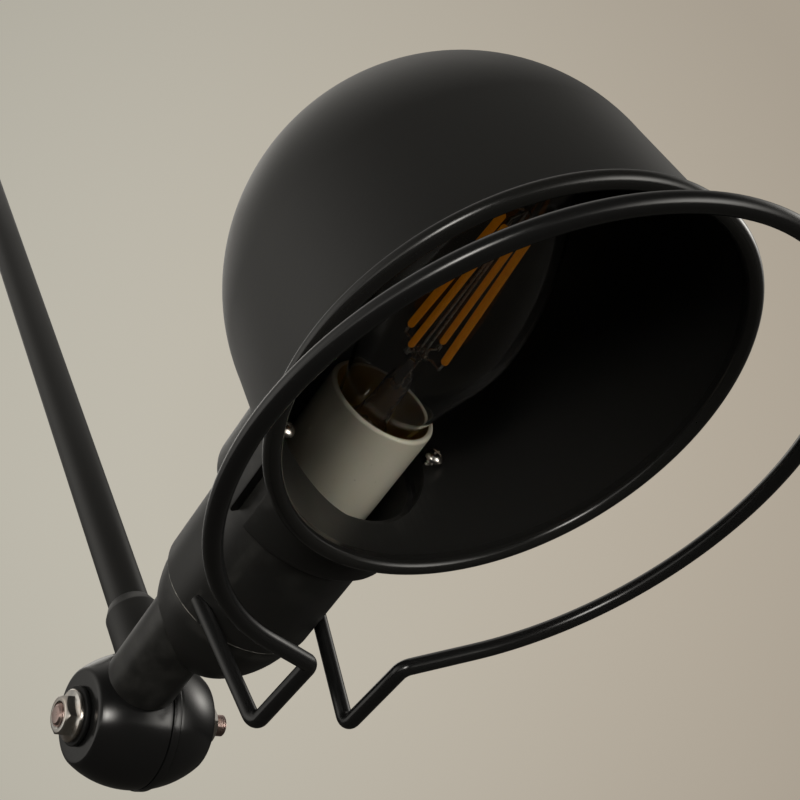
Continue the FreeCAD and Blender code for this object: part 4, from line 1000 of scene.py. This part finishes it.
def housing():
    edge = low_corner(NECK_LOW, NECK_R, 0.9)
    piece = turned("housing_tube", closed([(NECK_LOW, NECK_BORE)] + edge + [
        (70, NECK_R), (90, NECK_R), (NECK_HIGH, NECK_R), (NECK_HIGH, NECK_R - NECK_WALL),
        (NECK_LOW + NECK_WALL, NECK_R - NECK_WALL), (NECK_LOW + NECK_WALL, NECK_BORE)]))
    for side in (-1, 1):
        mirror = Matrix.Diagonal((1, side, 1))
        end = mirror @ GUARD_END
        heel = mirror @ leg_point(GUARD_HEEL_REACH)
        hole = rod("leg_hole", GUARD_WIRE_R + LEG_ROOM, 0, LEG_HOLE_LONG)
        cut(piece, move_to(hole, spot(end * MM, (heel - end).normalized(), UPRIGHT)))
    soften(piece, 0.2)
    lamp_fit(piece, BLACK_HOUSING, "black_paint", "neck_housing")


def shade_band():
    """Collar that carries the shade, with a slot on each side."""
    end = SHADE_REACH - SHADE_R * 0.8
    edge = low_corner(BAND_LOW, BAND_R, BAND_ROUND, 6)
    piece = turned("shade_band", closed([(BAND_LOW, BAND_BORE)] + edge + [
        (BAND_LOW + 10, BAND_R), (end, BAND_R), (end, BAND_BORE)]))
    inner = SHADE_R - SHADE_LAP
    dome = rounded((-inner, 0), (0, inner), inner, 1, 40)
    cutter = turned("dome_cutter", dome + [(SKIRT_LONG, SKIRT_R - SHADE_LAP), (SKIRT_LONG, 0)])
    cut(piece, move_to(cutter, SHADE_PLACE))
    for side in (-1, 1):
        long = SLOT_END - BAND_LOW + 1
        slot = block("slot", (long, BAND_R, SLOT_WIDE),
                     (BAND_LOW - 1 + long / 2, NECK_R - 3 + BAND_R / 2, 0))
        tilt = -SLOT_ANGLE if side > 0 else pi + SLOT_ANGLE
        cut(piece, shift(slot, tilt=tilt))
    soften(piece, 0.3)
    lamp_fit(piece, BLACK, "black_paint", "shade_collar")


def shade():
    """Spun dome and skirt with a rolled rim."""
    dome = rounded((-SHADE_R, 0), (0, SHADE_R), SHADE_R, 1, 48)
    roll = []
    for step in range(ROLL_STEPS + 1):
        angle = ROLL_START + (ROLL_END - ROLL_START) * step / ROLL_STEPS
        roll.append((SKIRT_LONG + BEAD_R * cos(angle), BEAD_RING_R + BEAD_R * sin(angle)))
    inner = SHADE_R - SHADE_WALL
    lining = rounded((0, inner), (-inner, 0), inner, -1, 48)
    piece = turned("spun_shade", dome + roll + lining, 160)
    move_to(piece, SHADE_PLACE)
    cut(piece, rod("housing_hole", NECK_R + 0.03, NECK_HIGH - 6, SHADE_REACH - SHADE_R * 0.7,
                   FINE))
    soften(piece, 0.0, 40)
    lamp_fit(piece, BLACK_SHADE, "black_paint", "shade")


def pan_screw(name, seat):
    """Pan head with a cross recess and a threaded shank; it points along X."""
    shank = []
    for turn in range(SCREW_TURNS):
        along = seat - SCREW_LONG + SCREW_PITCH * turn
        shank += [(along, SCREW_R - 0.3), (along + 0.35, SCREW_R)]
    head = rounded((seat + SCREW_HEAD_HIGH * 0.35, SCREW_HEAD_R),
                   (seat + SCREW_HEAD_HIGH, SCREW_HEAD_R * 0.3), SCREW_HEAD_R * 1.05, 1, 8)
    piece = turned(name, solid(shank + [(seat, SCREW_R), (seat, SCREW_HEAD_R)] + head), ROUND)
    for turn in (0, pi / 2):
        cross = block("cross", (1.4, 2.7, 0.62), (seat + SCREW_HEAD_HIGH + 0.05, 0, 0))
        cut(piece, shift(cross, tilt=turn + 0.5))
    soften(piece, 0.07, 30)
    return piece


def shade_screws():
    for name, side in (("shade_screw_near", -1), ("shade_screw_far", 1)):
        piece = shift(pan_screw(name, SCREW_SEAT), up=-SCREW_SIDE * sin(SCREW_ANGLE),
                      across=side * SCREW_SIDE * cos(SCREW_ANGLE))
        lamp_fit(piece, ZINC, "zinc_steel", "shade_screws")


def bend_between(before, corner, after):
    """Where a bend of the guard starts and ends, its centre, its axis and its angle."""
    back = (before - corner).normalized()
    ahead = (after - corner).normalized()
    half = back.angle(ahead) / 2
    first = corner + back * (GUARD_BEND / tan(half))
    last = corner + ahead * (GUARD_BEND / tan(half))
    centre = corner + (back + ahead).normalized() * (GUARD_BEND / sin(half))
    axis = (-back).cross(ahead).normalized()
    return first, last, centre, axis, pi - 2 * half


def draw_bend(centre, axis, angle, steps):
    bpy.ops.mesh.spin(steps=steps, angle=-angle, center=centre * MM, axis=axis, dupli=False)


def draw_run(start, end):
    bpy.ops.mesh.extrude_edges_move(TRANSFORM_OT_translate={"value": (end - start) * MM})


def guard():
    """Bent wire: half of the ring and one leg are drawn, then mirrored."""
    centre = Vector((GUARD_REACH, 0, -GUARD_DROP))
    forward = Vector((cos(GUARD_TILT), 0, -sin(GUARD_TILT)))
    ring_axis = forward.cross(SIDEWAYS)
    heel = leg_point(GUARD_HEEL_REACH)
    waist = leg_point(GUARD_WAIST_REACH)
    away = waist - centre
    swing = acos(GUARD_R / away.length)
    bearing = atan2(away.dot(SIDEWAYS), away.dot(forward)) - swing
    touch = centre + (forward * cos(bearing) + SIDEWAYS * sin(bearing)) * GUARD_R
    piece = made_by(bpy.ops.mesh.primitive_circle_add, "guard_hoop", vertices=24,
                    radius=GUARD_WIRE_R * MM)
    front = centre + forward * GUARD_R
    move_to(piece, Matrix.Translation(front * MM)
            @ SIDEWAYS.to_track_quat("Z", "X").to_matrix().to_4x4())
    edit_all()
    draw_bend(centre, ring_axis, bearing, 72)
    start = touch
    for corners, steps in (((touch, waist, heel), 10), ((waist, heel, GUARD_END), 12)):
        first, last, middle, axis, angle = bend_between(*corners)
        draw_run(start, first)
        draw_bend(middle, axis, angle, steps)
        start = last
    draw_run(start, GUARD_END)
    bpy.ops.mesh.edge_face_add()
    bpy.ops.object.mode_set(mode="OBJECT")
    apply_modifier(piece, "MIRROR", use_axis=(False, True, False), use_clip=True,
                   merge_threshold=0.01 * MM)
    edit_all()
    turn_faces_out()
    soften(piece, 0.0, 40)
    lamp_fit(piece, BLACK_BALL, "black_paint", "guard_wire")


# Lampholder and bulb

def lampholder():
    rim = far_corner(HOLDER_RIM, HOLDER_R, HOLDER_ROUND, 5)
    piece = turned("porcelain_holder", solid([(HOLDER_LOW, HOLDER_R), (105, HOLDER_R)] + rim + [
        (HOLDER_RIM - 0.25, MOUTH_R), (MOUTH_LOW + 0.5, MOUTH_R - 0.15),
        (MOUTH_LOW, MOUTH_R - 0.6), (MOUTH_LOW, THREAD_R), (THREAD_LOW, THREAD_R)]))
    soften(piece, 0.15)
    lamp_fit(piece, PORCELAIN, "porcelain", "lampholder")


def thread_wave(low, high, radius, depth, wall=0.0):
    """Outline of a rolled round thread."""
    points = []
    steps = int((high - low) / THREAD_PITCH * 6)
    for step in range(steps + 1):
        along = low + (high - low) * step / steps
        swell = cos((along - low) / THREAD_PITCH * 2 * pi)
        points.append((along, radius - depth / 2 + depth / 2 * swell - wall))
    return points


def threaded_shell():
    high = MOUTH_LOW - 0.5
    outside = thread_wave(THREAD_LOW, high, THREAD_R, THREAD_DEEP)
    inside = thread_wave(THREAD_LOW, high, THREAD_R, THREAD_DEEP, THREAD_WALL)
    piece = turned("holder_thread", closed(outside + [
        (MOUTH_LOW + 0.4, THREAD_R + 0.5), (MOUTH_LOW + 0.4, THREAD_R + 0.1)] + inside[::-1]))
    soften(piece, 0.0, 40)
    lamp_fit(piece, BRASS, "brass_parts", "threaded_shell")


def bulb_cap():
    """Bulb's screw cap: rolled thread and the crimp round the glass."""
    low = BULB_CAP_LOW
    thread = thread_wave(low + 1, GLASS_LOW - 4, BULB_CAP_R, BULB_CAP_DEEP)
    piece = turned("bulb_screw_cap", closed([(low, 3.0), (low, 6.2)] + thread + [
        (GLASS_LOW - 3, 7.0), (GLASS_LOW - 2.6, 7.6), (GLASS_LOW - 0.4, 8.7),
        (GLASS_LOW + 0.6, 8.9), (GLASS_LOW + 0.7, 8.6), (GLASS_LOW - 2, 7.2),
        (low + 0.8, 5.9), (low + 0.8, 3.0)]))
    soften(piece, 0.0, 40)
    lamp_fit(piece, NICKEL, "nickel_cap", "bulb_cap")


def bulb_envelope():
    """Clear glass: hollow neck, belly, shoulder and a soft tip."""
    outline = [(GLASS_LOW, GLASS_LOW_R)]
    for end, radius, arc, side, steps in (
            (GLASS_NECK, GLASS_NECK_R, GLASS_NECK_ARC, -1, 12),
            (GLASS_MID, GLASS_R, GLASS_BELLY_ARC, 1, 14),
            (GLASS_TOP, GLASS_TOP_R, GLASS_SIDE_ARC, 1, 24),
            (GLASS_TIP, 0, GLASS_TIP_ARC, 1, 14)):
        outline += rounded(outline[-1], (end, radius), arc, side, steps)[1:]
    piece = turned("bulb_envelope", outline)
    apply_modifier(piece, "SOLIDIFY", thickness=GLASS_WALL * MM, offset=-1)
    soften(piece, 0.0, 60)
    lamp_fit(piece, GLASS, "clear_glass", "bulb_glass")


def bulb_stem():
    """Flared glass stem, its exhaust tube and the pinch that holds the leads."""
    flare = turned("glass_stem", [
        (GLASS_LOW + 2, 6.6), (GLASS_LOW + 4, 5.6), (120, 3.9), (126, 3.2), (131, 3.0),
        (134, 2.2), (134.5, 0)], ROUND)
    apply_modifier(flare, "SOLIDIFY", thickness=0.6 * MM, offset=-1)
    pinch = block("pinch", (8.5, 6.2, 2.2), (134.5, 0, 0))
    apply_modifier(pinch, "BEVEL", width=0.7 * MM, segments=3)
    button = turned("button", rounded((138, 0), (140.6, 1.7), 1.8, 1, 6)
                    + rounded((140.6, 1.7), (141.8, 0), 1.8, 1, 5)[1:], 32)
    merge(pinch, button)
    merge(flare, shift(pinch, tilt=0.7))
    soften(flare, 0.0, 40)
    lamp_fit(flare, STEM_GLASS, "clear_glass", "bulb_stem")


def strip_ends(turn):
    """A strip's way out from the stem, and its lower and upper end."""
    outward = Vector((0, cos(turn), sin(turn)))
    low = ALONG * STRIP_LOW + outward * STRIP_SIDE
    high = ALONG * (STRIP_LOW + STRIP_LONG) + outward * (STRIP_SIDE - STRIP_LEAN)
    return outward, low, high


STRIPS = [strip_ends(STRIP_TURN + 2 * pi * index / STRIP_COUNT) for index in range(STRIP_COUNT)]


def filaments():
    """Coated strips, each a flattened rod with rounded ends."""
    for index, (outward, low, high) in enumerate(STRIPS):
        long = (high - low).length
        outline = rounded((0, 0), (0.7, STRIP_R), 1.0, 1, 5) + [(long / 2, STRIP_R * 1.04)]
        outline += rounded((long - 0.7, STRIP_R), (long, 0), 1.0, 1, 5)
        piece = turned("filament_strip_%d" % (index + 1), outline, 20)
        piece.scale = (1, 1, STRIP_FLAT)
        settle(piece)
        soften(piece, 0.0, 50)
        move_to(piece, spot(low * MM, (high - low).normalized(), outward))
        lamp_fit(piece, AMBER, "filament", "bulb_filaments")


def wire(name, points, radius):
    """Thin wire through a few points."""
    piece = made_by(bpy.ops.curve.primitive_nurbs_path_add, name)
    curve = piece.data
    curve.splines.clear()
    spline = curve.splines.new("POLY")
    spline.points.add(len(points) - 1)
    for knot, point in zip(spline.points, points):
        knot.co = (*(point * MM), 1)
    curve.bevel_depth = radius * MM
    curve.bevel_resolution = 3
    curve.use_fill_caps = True
    only(piece)
    bpy.ops.object.convert(target="MESH")
    return piece


def filament_leads():
    """Support wires from the pinch, weld tabs and the crown that links the strips."""
    hub = ALONG * (STRIP_LOW + STRIP_LONG + 4.2)
    weld = ALONG * 0.3
    pieces = []
    for outward, low, high in STRIPS:
        root = ALONG * 139.2 + outward * 1.1
        knee = ALONG * 140.6 + outward * 3.4
        tab = low - ALONG * 1.6
        pieces.append(wire("lead", [root, knee, tab, low + weld], LEAD_R))
        pieces.append(wire("crown", [high - weld, high + ALONG * 1.8, hub], LEAD_R))
        for end in (tab, high + weld):
            plate = block("tab", (1.5, 0.3, 1.3), ORIGIN)
            apply_modifier(plate, "BEVEL", width=0.08 * MM, segments=2)
            move_to(plate, spot((end + ALONG * 0.6) * MM, ALONG, outward))
            pieces.append(plate)
    for first, second in (((140, 0.9, 0), (150, 1.1, 0.3)), ((140, -0.9, 0), (160, -0.5, 0.2))):
        pieces.append(wire("middle", [Vector(first), Vector(second), hub], PROP_R))
    only(pieces[0])
    for piece in pieces:
        piece.select_set(True)
    bpy.ops.object.join()
    leads = bpy.context.object
    leads.name = "filament_leads"
    soften(leads, 0.0, 50)
    lamp_fit(leads, STEEL, "zinc_steel", "bulb_supports")


# Floor, light and camera

def patch_group():
    """Patch of light in the room, brightest towards one direction."""
    group, given, end = new_group("Soft Patch", [
        ("Way", VECTOR), ("Towards", VECTOR), ("Light", FLOAT), ("Narrow", FLOAT)],
        [("Light", FLOAT)])
    facing = vector_math(group, "DOT_PRODUCT", given["Way"], given["Towards"])
    away = maths(group, "SUBTRACT", facing, 1.0)
    fall = maths(group, "MULTIPLY", away, given["Narrow"])
    glow = maths(group, "EXPONENT", fall)
    feed(group, end, [("Light", maths(group, "MULTIPLY", glow, given["Light"]))])
    return group


FLOOR_R = 6.0
FLOOR_LOW = -1.2
FLOOR_GLOW = 0.75
LOOK_TURN = radians(38.97)
LOOK_RISE = radians(19.18)
LOOK = Vector((sin(LOOK_TURN) * cos(LOOK_RISE), cos(LOOK_TURN) * cos(LOOK_RISE), sin(LOOK_RISE)))
RIGHT = LOOK.cross(UPRIGHT).normalized()
ABOVE = RIGHT.cross(LOOK)
CAMERA_AWAY = 298.2
CAMERA_ASIDE = 3.6
CAMERA_LENS = 58.5
CAMERA_NEAR = 10.0
ROOM_LEVEL = 0.015
ROOM_TINT = (1.0, 0.965, 0.9)

# Light in the room: to the right, above, ahead, strength, narrowness

SOFT_LIGHTS = {
    "window, right and behind": (0.75, 0.3, 0.6, 2.0, 25.0),
    "window pane, right": (0.8, 0.2, 0.55, 4.0, 80.0),
    "panel, right and in front": (0.9, 0.1, -0.4, 4.5, 25.0),
    "fill, low right": (0.7, -0.3, -0.65, 1.0, 10.0),
    "panel, left and in front": (-0.5, 0.05, -0.85, 1.2, 25.0),
    "pale wall, left": (-0.95, 0.15, -0.1, 1.0, 7.0),
    "pale wall, behind": (-0.4, 0.2, 0.9, 1.2, 25.0),
    "ceiling": (-0.2, 0.7, 0.7, 0.6, 10.0),
    "small lamp, in front": (-0.1, 0.35, -0.95, 20.0, 120.0),
}


def floor_disc():
    """Pale floor, evenly lit to the eye."""
    floor = made_by(bpy.ops.mesh.primitive_circle_add, "floor", vertices=64, radius=FLOOR_R,
                    fill_type="NGON", location=(0, 0, FLOOR_LOW))
    material, tree, shader = new_material("Pale Floor")
    tone = blend(tree, noise(tree, place_in(tree), 3.0), (0.46, 0.44, 0.38, 1),
                 (0.5, 0.475, 0.41, 1))
    eye = node(tree, "ShaderNodeLightPath").outputs["Is Camera Ray"]
    feed(tree, shader, [
        ("Base Color", blend(tree, eye, (0.05, 0.047, 0.04, 1), tone)), ("Emission Color", tone),
        ("Emission Strength", maths(tree, "MULTIPLY", eye, FLOOR_GLOW)), ("Roughness", 0.8)])
    dress(floor, material)


def room():
    """Pale backdrop to the eye; what lights the lamp is a few soft patches."""
    world = bpy.data.worlds.new("Pale Room")
    bpy.context.scene.world = world
    world.use_nodes = True
    tree = world.node_tree
    way = node(tree, "ShaderNodeTexCoord").outputs["Generated"]
    patch = patch_group()
    level = ROOM_LEVEL
    for right, above, ahead, light, narrow in SOFT_LIGHTS.values():
        towards = (RIGHT * right + ABOVE * above + LOOK * ahead).normalized()
        made = use(tree, patch, Towards=towards, Light=light, Narrow=narrow, Way=way)
        level = maths(tree, "ADD", made["Light"], level)
    felt = scaled(tree, ROOM_TINT, level)
    lean = vector_math(tree, "DOT_PRODUCT", way, RIGHT)
    sideways = ramp(tree, lean, -0.35, 0.35, interpolation_type="SMOOTHSTEP")
    seen = blend(tree, sideways, (0.5, 0.475, 0.405, 1), (0.45, 0.395, 0.32, 1))
    middle = (LOOK - RIGHT * 0.05 - ABOVE * 0.05).normalized()
    near = vector_math(tree, "DOT_PRODUCT", way, middle)
    dimmed = scaled(tree, seen, ramp(tree, near, 0.9, 0.99, 1.05, 0.86))
    path = node(tree, "ShaderNodeLightPath").outputs
    either = maths(tree, "MAXIMUM", path["Is Camera Ray"], path["Is Transmission Ray"])
    feed(tree, tree.nodes["Background"], [("Color", blend(tree, either, felt, dimmed))])


def camera():
    view = made_by(bpy.ops.object.camera_add, "camera")
    view.location = HOLDER_SPOT + (RIGHT * CAMERA_ASIDE - LOOK * CAMERA_AWAY) * MM
    view.rotation_euler = (-LOOK).to_track_quat("Z", "Y").to_euler()
    view.data.lens = CAMERA_LENS
    view.data.clip_start = CAMERA_NEAR * MM
    bpy.context.scene.camera = view


# Build

finish_cad_nodes()
arms()
wall_plate()
swivel_block()
swivel_bolt()
bpy.data.objects.remove(NUT)
head_sleeve()
rear_cap()
housing()
shade_band()
shade()
shade_screws()
guard()
lampholder()
threaded_shell()
bulb_cap()
bulb_envelope()
bulb_stem()
filaments()
filament_leads()
floor_disc()
room()
camera()
bpy.context.scene.view_settings.view_transform = "Standard"
